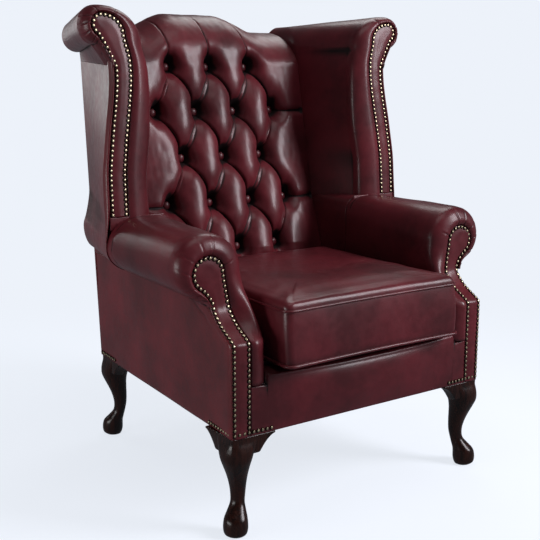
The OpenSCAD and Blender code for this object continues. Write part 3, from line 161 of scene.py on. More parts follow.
def rolled_outline(inner, heights, c, r_in, r_top, r_out, r_low, tail, neck, sq=1.0, straight=1.6):
    """Outline of a rolled arm or wing from the front: inner line, shoulder, roll and neck."""
    t = np.linspace(0, 1, LINE_ROWS, endpoint=False)
    shoulder = heights[-1]
    z = np.interp(t, np.linspace(0, 1, len(heights)), heights)
    line = points_at(smooth(inner, t), z)
    a = np.radians(180 - np.linspace(0, 1, ARC_ROWS) * (180 + tail))
    cos, sin = np.cos(a), np.sin(a)
    up = c[1] + r_top - shoulder
    before = points_at(c[0] - r_in * np.abs(cos)**sq, shoulder + up * np.maximum(sin, 0)**sq)
    after = points_at(c[0] + r_out * cos, c[1] + np.where(sin > 0, r_top, r_low) * sin)
    arc = np.where((a > math.pi / 2)[:, None], before, after)
    t = np.linspace(0, 1, FALL_ROWS + 1)[1:]
    fall = points_at(mix(arc[-1, 0], neck[0], 1 - (1 - t)**straight), mix(arc[-1, 1], neck[1], t))
    return np.concatenate([line, arc, fall])


# Grids of points and their meshes
def normals(grid):
    """The direction out of the grid at each of its points."""
    u = np.gradient(grid, axis=0)
    v = np.gradient(grid, axis=1)
    n = np.cross(u, v)
    return n / np.maximum(np.linalg.norm(n, axis=-1, keepdims=True), 1e-9)


def lumps(grid, size, seed, octaves=1):
    """Smooth noise from -1 to 1 at each point, with lumps of that size."""
    flat = (grid.reshape(-1, 3) / size + seed * 7.31).tolist()
    if octaves == 1:
        h = [noise.noise(p) for p in flat]
    else:
        h = [noise.fractal(p, 0.6, 2.1, octaves) for p in flat]
    return np.array(h).reshape(grid.shape[:2])


def blurred(grid, rounds):
    """The grid with each point drawn towards those beside it, that many times."""
    g = grid.copy()
    for _ in range(rounds):
        p = np.pad(g, [(1, 1), (1, 1)] + [(0, 0)] * (g.ndim - 2), mode="edge")
        g = (p[:-2, 1:-1] + p[2:, 1:-1] + p[1:-1, :-2] + p[1:-1, 2:] + 2 * g) / 6
    return g


# Shade of flat hide, and the depths in millimetres that darken it fully in the near and the far reach
FLAT_SHADE, NEAR_DEEP, FAR_DEEP = 0.32, 1.1, 9.0


def hollow(grid, close=8, wide=90):
    """How far each point lies below what is round it, in two reaches, as a shade from 0 to 1."""
    n = normals(grid)
    near = ((blurred(grid, close) - grid) * n).sum(-1)
    far = ((blurred(grid, wide) - grid) * n).sum(-1)
    return np.clip(FLAT_SHADE + near / NEAR_DEEP + far / FAR_DEEP, 0, 1)


def placed(name, data):
    """A new object of the scene, at its origin."""
    obj = bpy.data.objects.new(name, data)
    bpy.context.scene.collection.objects.link(obj)
    return obj


def mesh_piece(name, points, faces, shades=None, flip=False):
    """A new mesh object of points in millimetres."""
    mesh = bpy.data.meshes.new(name)
    if flip:
        faces = [f[::-1] for f in faces]
    mesh.from_pydata((np.asarray(points, float) * MM).tolist(), [], faces)
    mesh.polygons.foreach_set("use_smooth", [True] * len(mesh.polygons))
    if shades is not None:
        mesh.attributes.new("shade", "FLOAT", "POINT").data.foreach_set("value", np.ravel(shades))
    mesh.validate()
    return placed(name, mesh)


def grid_faces(rows, cols):
    """Faces of a grid whose points are listed row by row."""
    i, j = np.meshgrid(np.arange(rows - 1), np.arange(cols - 1), indexing="ij")
    corners = (i * cols + j, (i + 1) * cols + j, (i + 1) * cols + j + 1, i * cols + j + 1)
    return np.stack(corners, axis=-1).reshape(-1, 4).tolist()


def ring_faces(rings, around, start=0, loop=False):
    """Faces between closed rings of points; loop joins the last ring to the first."""
    faces = []
    for j in range(rings if loop else rings - 1):
        a, b = start + j * around, start + (j + 1) % rings * around
        for i in range(around):
            k = (i + 1) % around
            faces.append((a + i, a + k, b + k, b + i))
    return faces


def capped(rings):
    """Points and faces of rings of points, with a fan to a middle point over each end."""
    around, last = len(rings[0]), (len(rings) - 1) * len(rings[0])
    points = np.concatenate(list(rings) + [[rings[0].mean(0)], [rings[-1].mean(0)]])
    faces = ring_faces(len(rings), around)
    for i in range(around):
        k = (i + 1) % around
        faces.append((k, i, len(points) - 2))
        faces.append((last + i, last + k, len(points) - 1))
    return points, faces


def skin(name, grid, side=1, shades=None, thick=2.0, more=()):
    """A leather skin over a grid, and over more grids; side -1 makes the mirrored piece."""
    shades = [np.ravel(hollow(grid) if shades is None else shades)]
    points, faces = [grid.reshape(-1, 3)], grid_faces(*grid.shape[:2])
    for other in more:
        start = sum(len(p) for p in points)
        faces += [[start + v for v in f] for f in grid_faces(*other.shape[:2])]
        points.append(other.reshape(-1, 3))
        shades.append(np.ravel(hollow(other)))
    points = np.concatenate(points) * np.array([side, 1, 1])
    obj = mesh_piece(name, points, faces, np.concatenate(shades), flip=side < 0)
    if len(more):
        weld(obj)
    if thick:
        wall = obj.modifiers.new("thickness", "SOLIDIFY")
        wall.thickness = thick * MM
        wall.offset = -1
    return obj


def weld(obj):
    """Merges the points that two grids share."""
    bm = bmesh.new()
    bm.from_mesh(obj.data)
    bmesh.ops.remove_doubles(bm, verts=bm.verts, dist=0.02 * MM)
    bm.to_mesh(obj.data)
    bm.free()


def tidy_mesh(obj):
    """Merges doubled points and turns every face outwards."""
    bm = bmesh.new()
    bm.from_mesh(obj.data)
    bmesh.ops.remove_doubles(bm, verts=bm.verts, dist=0.001 * MM)
    bmesh.ops.dissolve_degenerate(bm, edges=bm.edges, dist=0.0001 * MM)
    bmesh.ops.recalc_face_normals(bm, faces=bm.faces)
    bm.to_mesh(obj.data)
    bm.free()


def dressed(obj, material, slot, body, *nodes):
    """Gives a finished piece its material and its place in the frame."""
    obj.data.materials.clear()
    obj.data.materials.append(material)
    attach(obj, body)
    if nodes:
        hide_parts(*nodes)
    return obj


# Materials
def linear(hex_colour):
    """sRGB hex to linear colour."""
    c = [int(hex_colour[i:i + 2], 16) / 255 for i in (1, 3, 5)]
    return [v / 12.92 if v <= 0.04045 else ((v + 0.055) / 1.055)**2.4 for v in c] + [1]


def per_mm(size):
    """Texture scale that gives a pattern of that size in millimetres."""
    return 1 / (size * MM)


def put(tree, kind, settings=None, stops=(), **links):
    """Adds a node: settings are its own values, stops the places and colours of a ramp, and links
    its inputs, by name or as a low line and a number."""
    node = tree.nodes.new(kind)
    for key, value in (settings or {}).items():
        setattr(node, key, value)
    if stops:
        elements = node.color_ramp.elements
        while len(elements) < len(stops):
            elements.new(0.5)
        for element, (place, colour) in zip(elements, stops):
            element.position, element.color = place, linear(colour)
    for key, value in links.items():
        socket = node.inputs[int(key[1:])] if key[1:].isdigit() else node.inputs[key.replace("_", " ")]
        if isinstance(value, bpy.types.NodeSocket):
            tree.links.new(value, socket)
        else:
            socket.default_value = value
    return node


def new_material(name):
    """A material with an empty tree, and the place on the object that its patterns follow."""
    material = bpy.data.materials.new(name)
    material.use_nodes = True
    tree = material.node_tree
    tree.nodes.clear()
    return material, tree, put(tree, "ShaderNodeTexCoord").outputs["Object"]


def finish_material(tree, base, rough, height, strength, depth, **settings):
    """Ends a material in one principled shader with a bump of that depth in millimetres."""
    bump = put(tree, "ShaderNodeBump", Strength=strength, Distance=depth * MM, Height=height)
    shader = put(tree, "ShaderNodeBsdfPrincipled", Base_Color=base, Roughness=rough,
                 Normal=bump.outputs[0], **settings)
    put(tree, "ShaderNodeOutputMaterial", Surface=shader.outputs[0])


def leather(name, deep, mid, bright, rough=(0.34, 0.46), relief=0.13):
    """Full-grain hide, aniline dyed and hand-rubbed, redder where it is rubbed, under a thin polish that
    gives broad soft highlights. Its folds and hollows are painted near black: partly dye that stays
    there, partly painted shade."""
    material, tree, where = new_material(name)
    shade = put(tree, "ShaderNodeAttribute", {"attribute_name": "shade"}).outputs["Fac"]
    # Rubbed patches of the antiqued dye are about 70 mm across, and mottled within that
    cloud = put(tree, "ShaderNodeTexNoise", Vector=where, Scale=per_mm(140), Detail=5.0, Roughness=0.55)
    mottle = put(tree, "ShaderNodeTexNoise", Vector=where, Scale=per_mm(16), Detail=4.0, Roughness=0.6)
    fleck = put(tree, "ShaderNodeMapRange", Value=mottle.outputs["Fac"], To_Min=-0.12, To_Max=0.12)
    patch = put(tree, "ShaderNodeMath", {"operation": "MULTIPLY_ADD"}, _0=cloud.outputs["Fac"], _1=0.9,
                _2=fleck.outputs[0])
    body = put(tree, "ShaderNodeValToRGB", stops=((0.3, mid), (0.62, bright)), Fac=patch.outputs[0])
    # The hollows are painted towards the deep colour: partly dye that the rubbing doesn't reach, partly
    # painted shade
    dye_and_painted_shade = put(tree, "ShaderNodeMapRange", Value=shade, From_Min=0.36, From_Max=0.95, To_Max=0.96)
    colour = put(tree, "ShaderNodeMix", {"data_type": "RGBA"}, _0=dye_and_painted_shade.outputs[0], _6=body.outputs[0],
                 _7=linear(deep))
    # Grain of full-grain hide is near 1 mm, drawn at 2.6 mm because finer doesn't show
    grain = put(tree, "ShaderNodeTexVoronoi", Vector=where, Scale=per_mm(2.6), Randomness=1.0)
    bend = put(tree, "ShaderNodeTexNoise", Vector=where, Scale=per_mm(13), Detail=5.0, Roughness=0.6)
    height = put(tree, "ShaderNodeMath", {"operation": "MULTIPLY_ADD"}, _0=grain.outputs["Distance"],
                 _1=0.1, _2=bend.outputs["Fac"])
    # The folds lie duller and lose the polish, which also takes their reflection out as painted shade
    even = put(tree, "ShaderNodeMapRange", Value=mottle.outputs["Fac"], From_Min=0.3, From_Max=0.7,
               To_Min=rough[0], To_Max=rough[1])
    dull = put(tree, "ShaderNodeMapRange", Value=shade, From_Min=0.45, From_Max=1.0, To_Max=0.3)
    gloss = put(tree, "ShaderNodeMath", {"operation": "ADD"}, _0=even.outputs[0], _1=dull.outputs[0])
    polish = put(tree, "ShaderNodeMapRange", Value=shade, From_Min=0.4, From_Max=0.85, To_Min=0.24,
                 To_Max=0.0)
    finish_material(tree, colour.outputs[2], gloss.outputs[0], height.outputs[0], relief, 0.9, IOR=1.4,
                    Specular_IOR_Level=0.4, Coat_Weight=polish.outputs[0], Coat_Roughness=0.2, Coat_IOR=1.4)
    return material


def lacquered_wood(name, dark, light, rough=0.2):
    """Beech stained to mahogany under gloss lacquer: near black, with the grain just showing."""
    material, tree, where = new_material(name)
    run = put(tree, "ShaderNodeMapping", Vector=where, Scale=(1.0, 1.0, 0.12)).outputs[0]
    # The grain's bands are about 4 mm wide, with finer streaks in them
    streak = put(tree, "ShaderNodeTexNoise", Vector=run, Scale=per_mm(9), Detail=7.0, Roughness=0.65)
    grain = streak.outputs["Fac"]
    colour = put(tree, "ShaderNodeValToRGB", stops=((0.35, dark), (0.7, light)), Fac=grain)
    gloss = put(tree, "ShaderNodeMapRange", Value=grain, To_Min=rough, To_Max=rough + 0.14)
    finish_material(tree, colour.outputs[0], gloss.outputs[0], grain, 0.12, 0.5, IOR=1.36,
                    Coat_Weight=0.1, Coat_Roughness=0.12)
    return material


def sawn_beech(name):
    """Sawn kiln-dried beech: pale, matt, with short darker flecks."""
    material, tree, where = new_material(name)
    run = put(tree, "ShaderNodeMapping", Vector=where, Scale=(0.15, 1.0, 1.0)).outputs[0]
    # Beech shows flecks 1 to 2 mm wide
    fleck = put(tree, "ShaderNodeTexNoise", Vector=run, Scale=per_mm(3), Detail=6.0, Roughness=0.6)
    colour = put(tree, "ShaderNodeValToRGB", stops=((0.35, "#b98f62"), (0.65, "#d9b98c")),
                 Fac=fleck.outputs["Fac"])
    finish_material(tree, colour.outputs[0], 0.65, fleck.outputs["Fac"], 0.3, 0.3)
    return material


# A wave texture of scale 1 has about this many half waves in a unit, and each draws one thread
HALF_WAVES = 6.3


def woven(name, dark, light, pitch, rough=0.85):
    """Plain weave: threads of that pitch in millimetres cross over and under."""
    material, tree, where = new_material(name)
    waves = [put(tree, "ShaderNodeTexWave", {"bands_direction": d}, Vector=where,
                 Scale=per_mm(pitch) / HALF_WAVES, Distortion=0.6).outputs["Fac"] for d in "XYZ"]
    pair = put(tree, "ShaderNodeMath", {"operation": "ADD"}, _0=waves[0], _1=waves[1])
    weave = put(tree, "ShaderNodeMath", {"operation": "ADD"}, _0=waves[2], _1=pair.outputs[0]).outputs[0]
    raised = put(tree, "ShaderNodeMapRange", Value=weave, From_Min=0.6, From_Max=2.4)
    colour = put(tree, "ShaderNodeValToRGB", stops=((0.2, dark), (0.8, light)), Fac=raised.outputs[0])
    finish_material(tree, colour.outputs[0], rough, weave, 0.35, 0.4)
    return material


def antique_metal(name, pit_colour, worn_colour, rough=(0.28, 0.5), relief=0.25):
    """Plated nail brass, chemically darkened and rubbed back on its crown."""
    material, tree, where = new_material(name)
    worn = put(tree, "ShaderNodeAttribute", {"attribute_name": "crown"}).outputs["Fac"]
    # Pits and stains of the plating are 1 to 2 mm across
    spot = put(tree, "ShaderNodeTexNoise", Vector=where, Scale=per_mm(2.5), Detail=4.0).outputs["Fac"]
    rubbed = put(tree, "ShaderNodeMath", {"operation": "MULTIPLY_ADD"}, _0=spot, _1=0.12, _2=worn)
    colour = put(tree, "ShaderNodeValToRGB", stops=((0.82, pit_colour), (0.97, worn_colour)),
                 Fac=rubbed.outputs[0])
    gloss = put(tree, "ShaderNodeMapRange", Value=spot, To_Min=rough[0], To_Max=rough[1])
    finish_material(tree, colour.outputs[0], gloss.outputs[0], spot, relief, 0.2, Metallic=1.0)
    return material


HIDE = leather("oxblood_full_grain_leather", "#0b0304", "#45161b", "#652028")
# The same hide on the stretched outside panels: smoother and duller, with its colours painted lighter to
# stand in for light on the outside covers
HIDE_PANEL_PAINTED_LIGHTER = leather("oxblood_leather_panel_painted_lighter", "#100506", "#501a1e", "#6f232a",
                     rough=(0.36, 0.5), relief=0.06)
MAHOGANY = lacquered_wood("mahogany_stained_gloss_lacquer", "#120806", "#33150d")
BEECH = sawn_beech("sawn_beech")
JUTE = woven("jute_webbing", "#8a7048", "#c8ae80", 2.4)
FELT = woven("black_spun_dust_cloth", "#0c0c0e", "#1e1e22", 1.2)
DECK = woven("dark_platform_cloth", "#1c0b0d", "#32161a", 0.9)
FOAM = woven("cream_open_cell_foam", "#cdbd96", "#eee2c2", 1.6)
TAPE = woven("woven_zip_tape", "#1c080b", "#3a1418", 0.8, rough=0.7)
NAIL = antique_metal("antiqued_brass_nail", "#241b14", "#bfb294")
STEEL = antique_metal("zinc_plated_steel", "#6d7076", "#b9bcc2", relief=0.1)
ZIP_METAL = antique_metal("satin_brass_zip_slider", "#6b5528", "#c9a860", relief=0.1)


# Rolled pads: arms and wings
OUT_SHARES = [0.02, 0.05, 0.3, 0.68, 0.93, 1]
BACK_SHARES = [0.1, -0.06, -0.16, 0.04, 0.42, 1]
ARM_RINGS, WING_RINGS = 30, 26
ARM_HEIGHTS = np.interp([0, 1 / 2, 1, 3 / 2, 2, 7 / 3, 8 / 3, 3], range(4),
                        [PAD_FOOT, KNEE_Z, NECK_Z, ARM_SHOULDER])
ARM_HEAD_X, ARM_HEAD_R = 347.0, 37.5
WING_HEAD, WING_HEAD_R, WING_R = (399.5, 1021.0), 25.5, 43.0
WING_INNER_X, WING_SWELL = 365.0, 29.0
ROLL_END_TURN = 100


def rounding(count):
    """The front rounding of a pad: shares outwards and backwards at each ring."""
    t = np.linspace(0, 1, count)
    return smooth(OUT_SHARES, t), smooth(BACK_SHARES, t)


def folded(grid, places, rings, depth, width):
    """Cuts thin radial folds into the front rounding: each has its row and its share of the length."""
    n = normals(grid)
    k = np.arange(grid.shape[0])[:, None]
    r = np.arange(grid.shape[1])[None, :] / rings
    cut = np.zeros(grid.shape[:2])
    for row, share in places:
        run = eased(r / 0.08) * (1 - eased((r - share * 0.7) / (share * 0.5)))
        bend = row + 2.0 * np.sin(r * 3 + row)
        near = bell(k - bend, width)
        lift = bell(k - bend - 2.6 * width, 2.2 * width) * 0.25
        cut += (near - lift) * run
    return grid - n * (cut * depth)[..., None], cut


def arm_edge_path():
    """The outline along which the arm's pad meets its facing."""
    inner = FACING_INNER_X + np.array([0, 0, 0, 0, 0, 2.5, 6.5, 10.5])
    return rolled_outline(inner, ARM_HEIGHTS, (ARM_HEAD_X, ARM_SHOULDER), *[ARM_HEAD_R] * 4, 62,
                          (BASE_FRONT, ROLL_UNDER + 1))


def arm_grid():
    """The arm's pad, from its facing over the front rounding and back to the wing."""
    edge = arm_edge_path()
    lean = SEAT_HALF + 6 * np.array([0, 0, 0, 0, 0.1, 0.3, 0.6, 1])
    middle = (ARM_X, ARM_ROLL_Z)
    section = rolled_outline(lean, ARM_HEIGHTS, middle, ARM_X - lean[-1], ARM_RISE, ARM_ROLL, ARM_RISE,
                             68, (BASE_FRONT + 3, ROLL_UNDER))
    end_y = WING_FOOT_Y + FACING
    end = rolled_outline([SEAT_HALF] * 2, ARM_HEIGHTS, middle, ARM_X - SEAT_HALF, ARM_RISE, ARM_ROLL, 55,
                         68, (side_x(end_y) + 3, ROLL_UNDER_REAR), 0.45)
    out, back = rounding(ARM_RINGS)
    front = arm_front(edge[:, 1])
    # On the seat side the stuffing fills the hollow between the knee and the roll
    filled = mix(-FRONT, ARM_FACE_Y, np.clip((edge[:, 1] - KNEE_Z) / 102, 0, 1))
    inner = 1 - eased((np.arange(len(edge)) - 60) / 30)
    soft = mix(front, np.minimum(front, filled), inner)
    reach = 6
    even = np.ones(2 * reach + 1) / (2 * reach + 1)
    soft = np.convolve(np.pad(soft, reach, mode="edge"), even, mode="valid")
    soft = np.minimum(soft, front + 1.0)
    rings = [points_at(mix(edge[:, 0], section[:, 0], o), mix(front, soft, eased(o)) + ROUND_DEPTH * b,
                       mix(edge[:, 1], section[:, 1], o)) for o, b in zip(out, back)]
    start = soft + ROUND_DEPTH
    for t in np.linspace(0, 1, 62)[1:]:
        p = mix(section, end, t)
        rings.append(points_at(p[:, 0], mix(start, end_y - GAP, t), p[:, 1]))
    return np.stack(rings, axis=1)


def arm_back_panel(grid):
    """The inside arm under the wing: the roll's shape runs out to a flat side in the crease."""
    outline = grid[:, -1][:, [0, 2]]
    rows, end_x = 90, 306
    ahead = along(outline[:int(np.argmax(outline[:, 0] > end_x))], rows)
    flat = along([(SEAT_HALF, outline[0, 1]), (SEAT_HALF, ARM_TOP - 22), (SEAT_HALF + 2, ARM_TOP - 12),
                  (SEAT_HALF + 7, ARM_TOP - 5), (WING_TAIL, ARM_TOP + 0.5)], rows)
    columns = []
    for t in np.linspace(0, 1, 50):
        p = mix(ahead, flat, t**0.75)
        y = mix(WING_FOOT_Y + FACING - GAP, crease_y(p[:, 1]) + 26, t)
        columns.append(points_at(p[:, 0], y, p[:, 1]))
    return np.stack(columns, axis=1)


def wing_foot_web():
    """The hide that closes the front of the wing's foot down to the arm's roll."""
    across, down = np.linspace(0, 1, 40)[:, None], np.linspace(1, 0, 12)[None, :]
    y = WING_FOOT_Y + 0.6 - 1.2 * np.sin(np.pi * down)
    return points_at(mix(276, 409, across), y, mix(ARM_TOP + 1, ARM_TOP - 28, down))


def made_arm(side, name):
    """The inside arm of one side, with the part of it that lies under the wing."""
    grid = arm_grid()
    n = normals(grid)
    k = np.linspace(0, 1, grid.shape[0])[:, None]
    y = grid[..., 1]
    # Stuffing lies a little unevenly under the hide
    grid = grid + n * (lumps(grid, 95, 3 + side) * 1.6)[..., None]
    # The hide is drawn in where the front leans back above the knee
    ahead = y - arm_front(grid[..., 2])
    knee = bell(grid[..., 2] - 430, 34) * bell(ahead - 14, 22)
    wrinkle = np.maximum(lumps(grid * np.array([1, 1, 1.8]), 17, 8 + side, 2), 0)
    grid = grid - n * (knee * wrinkle * 1.7 * (k < 0.3))[..., None]
    places = [(57, 0.5), (82, 0.9), (97, 0.85), (112, 0.8), (128, 0.75), (147, 0.8)]
    grid, cut = folded(grid, places, ARM_RINGS, 1.5 if side > 0 else 0.9, 0.75)
    # The hide is gathered under the roll, towards the neck
    under = eased((k - 0.86) / 0.1) * np.exp(-(y - ARM_FACE_Y) / 90)
    gather = np.maximum(lumps(grid * np.array([1, 0.5, 2.2]), 12, 31 + side), 0)
    grid = grid - n * (under * gather * 3.2)[..., None]
    # A sewn joint goes round the roll just in front of the wing
    joint_y = WING_FOOT_Y - 16 + 10 * np.sin(k * 5)
    seam = bell(y - joint_y, 1.6) * eased((k - 0.3) / 0.06)
    grid = grid - normals(grid) * (seam * 1.5)[..., None]
    # Beside the facing the painted shade is held low, so it stays even there
    beside = (k < 0.32) * bell(y - arm_front(grid[..., 2]), 30)
    shades = hollow(grid)
    shades = mix(shades, np.minimum(shades, 0.36), beside)
    # Painted shade in the radial folds, and the sewn joint darker
    shades = np.clip(shades + 0.5 * np.clip(cut, 0, 1) + 0.5 * seam, 0, 1)
    obj = skin(name, grid, side, shades, more=[arm_back_panel(grid), wing_foot_web()])
    return obj


def wing_line(z):
    """The inner edge of the wing's nailed strip, which swells inwards towards its head."""
    shares = [0, 0.02, 0.07, 0.28, 0.52, 0.8, 1, 0.98, 0.59]
    return WING_INNER_X - WING_SWELL * smooth(shares, (z - WING_FOOT_Z) / (WING_SHOULDER - WING_FOOT_Z))


def wing_outlines():
    """Outlines of the wing's pad: at its facing, behind its front rounding, and at its rear."""
    edge = rolled_outline(wing_line(np.linspace(WING_FOOT_Z, WING_SHOULDER, 9)),
                          np.linspace(WING_FOOT_Z, WING_SHOULDER, 8), WING_HEAD,
                          WING_HEAD[0] - wing_line(WING_SHOULDER), *[WING_HEAD_R] * 3, 62,
                          (wing_line(WING_NECK) + WING_STRIP, WING_NECK), straight=1.15)
    hollow_shares = np.array([0, -0.06, 0, 0.38, 0.75, 0.94, 0.97, 0.81, 0.12])
    section = rolled_outline(301 - 16 * hollow_shares, np.linspace(WING_FOOT_Z, PAD_SHOULDER, 8),
                             (WING_X, WING_TOP - WING_R), 101.9, *[WING_R] * 3, 74,
                             (wing_line(WING_NECK) + WING_STRIP + 7, WING_NECK + 5), straight=1.2)
    end = rolled_outline([SEAT_HALF] * 2, np.linspace(605.3, PAD_SHOULDER + 1, 8), (TAIL_X, TAIL_Z),
                         TAIL_X - SEAT_HALF, *[TAIL_R] * 3, ROLL_END_TURN, (WING_TAIL - 3, 950))
    return edge, section, end


def wing_grid():
    """The wing's pad, from its facing over the front rounding and back to the outside back."""
    edge, section, end = wing_outlines()
    out, back = rounding(WING_RINGS)
    front = wing_front(edge[:, 1])
    rings = [points_at(mix(edge[:, 0], section[:, 0], o), front + ROUND_DEPTH * b,
                       mix(edge[:, 1], section[:, 1], o)) for o, b in zip(out, back)]
    row = np.arange(len(edge))
    crease = crease_y(end[:, 1])
    rear = np.minimum(back_y(WING_TOP) - COVER - 6, back_y(end[:, 1]) - COVER - GAP)
    # The inner line stops in the crease, and hands over smoothly to the roll, which runs to the back
    end_y = mix(crease + 30, rear, eased((row - 34) / 14.0))
    reach_y = mix(crease, rear, eased((row - LINE_ROWS) / 55.0))
    start = front + ROUND_DEPTH
    for t in np.linspace(0, 1, 72)[1:]:
        y = mix(start, end_y, t)
        p = mix(section, end, np.clip((y - start) / (reach_y - start), 0, 1)[:, None])
        rings.append(points_at(p[:, 0], y, p[:, 1]))
    return np.stack(rings, axis=1)


def made_wing(side, name):
    """The inside wing of one side, closed at its foot and at the rear end of its roll."""
    grid = wing_grid()
    n = normals(grid)
    k = np.linspace(0, 1, grid.shape[0])[:, None]
    grid = grid + n * (lumps(grid, 110, 12 + side) * 1.3)[..., None]
    places = [(75, 0.8), (95, 0.9), (112, 0.9), (124, 0.9), (137, 0.9), (150, 0.8)]
    grid, cut = folded(grid, places, WING_RINGS, 1.6, 0.9)
    # The hide is gathered on the outer side of the roll, near its front
    near = eased((k - 0.62) / 0.1) * np.exp(-(grid[..., 1] - 40) / 60)
    grid = grid - n * (near * np.maximum(lumps(grid, 14, 41 + side, 2), 0) * 1.6)[..., None]
    # Painted shade in the radial folds
    shades = np.clip(hollow(grid) + 0.5 * np.clip(cut, 0, 1), 0, 1)
    # Its foot is tucked down into the arm, and its roll is closed at the back
    skirt = np.stack([grid[0] + np.array([1.5, 0, -16]), grid[0]])
    obj = skin(name, grid, side, shades, more=[skirt, roll_end(grid)])
    return obj


def roll_end(grid):
    """The hide drawn together over the rear end of the wing's roll."""
    rim = grid[LINE_ROWS:LINE_ROWS + ARC_ROWS, -1]
    middle = np.array([TAIL_X, rim[0, 1], TAIL_Z])
    a = np.radians(np.linspace(-ROLL_END_TURN - 4, -180, 24))
    rest = points_at(TAIL_X + TAIL_R * np.cos(a), rim[-1, 1], TAIL_Z + TAIL_R * np.sin(a))
    rim = np.concatenate([rim, rest, rim[:1]])
    columns = []
    for share, back in ((0, 0), (0.05, 1.6), (0.14, 2.6), (0.35, 3.2), (0.65, 3.0), (0.9, 1.6), (1, 1.2)):
        columns.append(mix(rim, middle, share) + np.array([0, back, 0]))
    return np.stack(columns, axis=1)


def facing_piece(name, left_path, right_path, front, side):
    """A leather-covered facing board: a padded strip between its two edges."""
    rungs = 150
    a, b = along(left_path, rungs), along(right_path, rungs)
    across = np.concatenate([[0, 0.012], np.linspace(0.03, 0.97, 17), [0.988, 1]])
    width = np.linalg.norm(b - a, axis=1)
    grid = np.zeros((len(across), rungs, 3))
    for i, u in enumerate(across):
        p = mix(a, b, u)
        d = np.minimum(u, 1 - u) * width
        # Drawn down under the nails, padded between them, and turned in at its edge
        proud = 1.7 * eased((d - 7) / 14) - 0.6 * bell(d - NAIL_INSET, 2.6)
        y = front(p[:, 1]) - proud + 5.5 * bell(d, 0.9)
        grid[i] = points_at(p[:, 0], y, p[:, 1])
    grid = grid + np.array([0, 1, 0]) * (lumps(grid, 26, 5 + side) * 0.5)[..., None]
    d = np.minimum(across, 1 - across)[:, None] * width[None, :]
    # Painted shade along the nail rows, where the hide is drawn down under the nails
    shades = np.clip(0.30 + 0.5 * bell(d - NAIL_INSET, 3.4), 0, 1)
    return skin(name, grid, side, shades)


def drawn_in(path, d):
    """The path moved sideways by d, to its right."""
    path = np.asarray(path, float)
    run = np.gradient(path, axis=0)
    run /= np.linalg.norm(run, axis=1, keepdims=True)
    return path + points_at(run[:, 1], -run[:, 0]) * d


# Nails
def nail_tree():
    """Nodes that set a domed nail head on every point, facing along the point's own direction."""
    tree = bpy.data.node_groups.new("domed nails", "GeometryNodeTree")
    face = tree.interface
    face.new_socket("Geometry", in_out="INPUT", socket_type="NodeSocketGeometry")
    sizes = {"Head radius": NAIL_D / 2 * MM, "Head rise": NAIL_RISE * MM, "Wobble": 0.06}
    for label, size in sizes.items():
        face.new_socket(label, in_out="INPUT", socket_type="NodeSocketFloat").default_value = size
    face.new_socket("Finish", in_out="INPUT", socket_type="NodeSocketMaterial")
    face.new_socket("Geometry", in_out="OUTPUT", socket_type="NodeSocketGeometry")
    given = put(tree, "NodeGroupInput")
    ball = put(tree, "GeometryNodeMeshUVSphere", Segments=14, Rings=10, Radius=1.0)
    place = put(tree, "GeometryNodeInputPosition").outputs[0]
    height = put(tree, "ShaderNodeSeparateXYZ", Vector=place).outputs["Z"]
    low = put(tree, "FunctionNodeCompare", {"data_type": "FLOAT", "operation": "LESS_THAN"}, _0=height,
              _1=-0.05)
    dome = put(tree, "GeometryNodeDeleteGeometry", Geometry=ball.outputs["Mesh"], Selection=low.outputs[0])
    crown = put(tree, "GeometryNodeStoreNamedAttribute", {"data_type": "FLOAT", "domain": "POINT"},
                Geometry=dome.outputs[0], Name="crown")
    tree.links.new(height, next(s for s in crown.inputs if s.name == "Value" and s.enabled))
    size = put(tree, "ShaderNodeCombineXYZ", X=given.outputs["Head radius"], Y=given.outputs["Head radius"],
               Z=given.outputs["Head rise"])
    head = put(tree, "GeometryNodeTransform", Geometry=crown.outputs[0], Scale=size.outputs[0])
    facing = put(tree, "GeometryNodeInputNamedAttribute", {"data_type": "FLOAT_VECTOR"}, Name="facing")
    turn = put(tree, "FunctionNodeAlignRotationToVector", {"axis": "Z"},
               Vector=next(s for s in facing.outputs if s.enabled))
    wobble = put(tree, "FunctionNodeRandomValue", {"data_type": "FLOAT_VECTOR"}, Seed=5)
    spread = put(tree, "ShaderNodeVectorMath", {"operation": "SCALE"}, _0=wobble.outputs[0],
                 Scale=given.outputs["Wobble"])
    turned = put(tree, "FunctionNodeRotateRotation", {"rotation_space": "LOCAL"}, Rotation=turn.outputs[0],
                 Rotate_By=spread.outputs[0])
    heads = put(tree, "GeometryNodeInstanceOnPoints", Points=given.outputs["Geometry"],
                Instance=head.outputs[0], Rotation=turned.outputs[0])
    real = put(tree, "GeometryNodeRealizeInstances", Geometry=heads.outputs[0])
    polished = put(tree, "GeometryNodeSetShadeSmooth", Geometry=real.outputs[0])
    made = put(tree, "GeometryNodeSetMaterial", Geometry=polished.outputs[0],
               Material=given.outputs["Finish"])
    put(tree, "NodeGroupOutput", _0=made.outputs[0])
    return tree


NAIL_TREE = nail_tree()


def nailed(name, points, facings, side, *nodes):
    """Real nail heads at points in millimetres, made by the nail tree and kept as a plain mesh."""
    flip = np.array([side, 1, 1])
    mesh = bpy.data.meshes.new(name + "_places")
    mesh.from_pydata((np.array(points) * flip * MM).tolist(), [], [])
    mesh.attributes.new("facing", "FLOAT_VECTOR", "POINT").data.foreach_set(
        "vector", np.ravel(np.array(facings) * flip))
    places = placed(name + "_places", mesh)
    modifier = places.modifiers.new("nails", "NODES")
    modifier.node_group = NAIL_TREE
    sockets = {s.name: s.identifier for s in NAIL_TREE.interface.items_tree if s.in_out == "INPUT"}
    modifier[sockets["Finish"]] = NAIL
    graph = bpy.context.evaluated_depsgraph_get()
    made = bpy.data.meshes.new_from_object(places.evaluated_get(graph))
    bpy.data.objects.remove(places)
    return dressed(placed(name, made), NAIL, "antique_nail", "chair", *nodes)


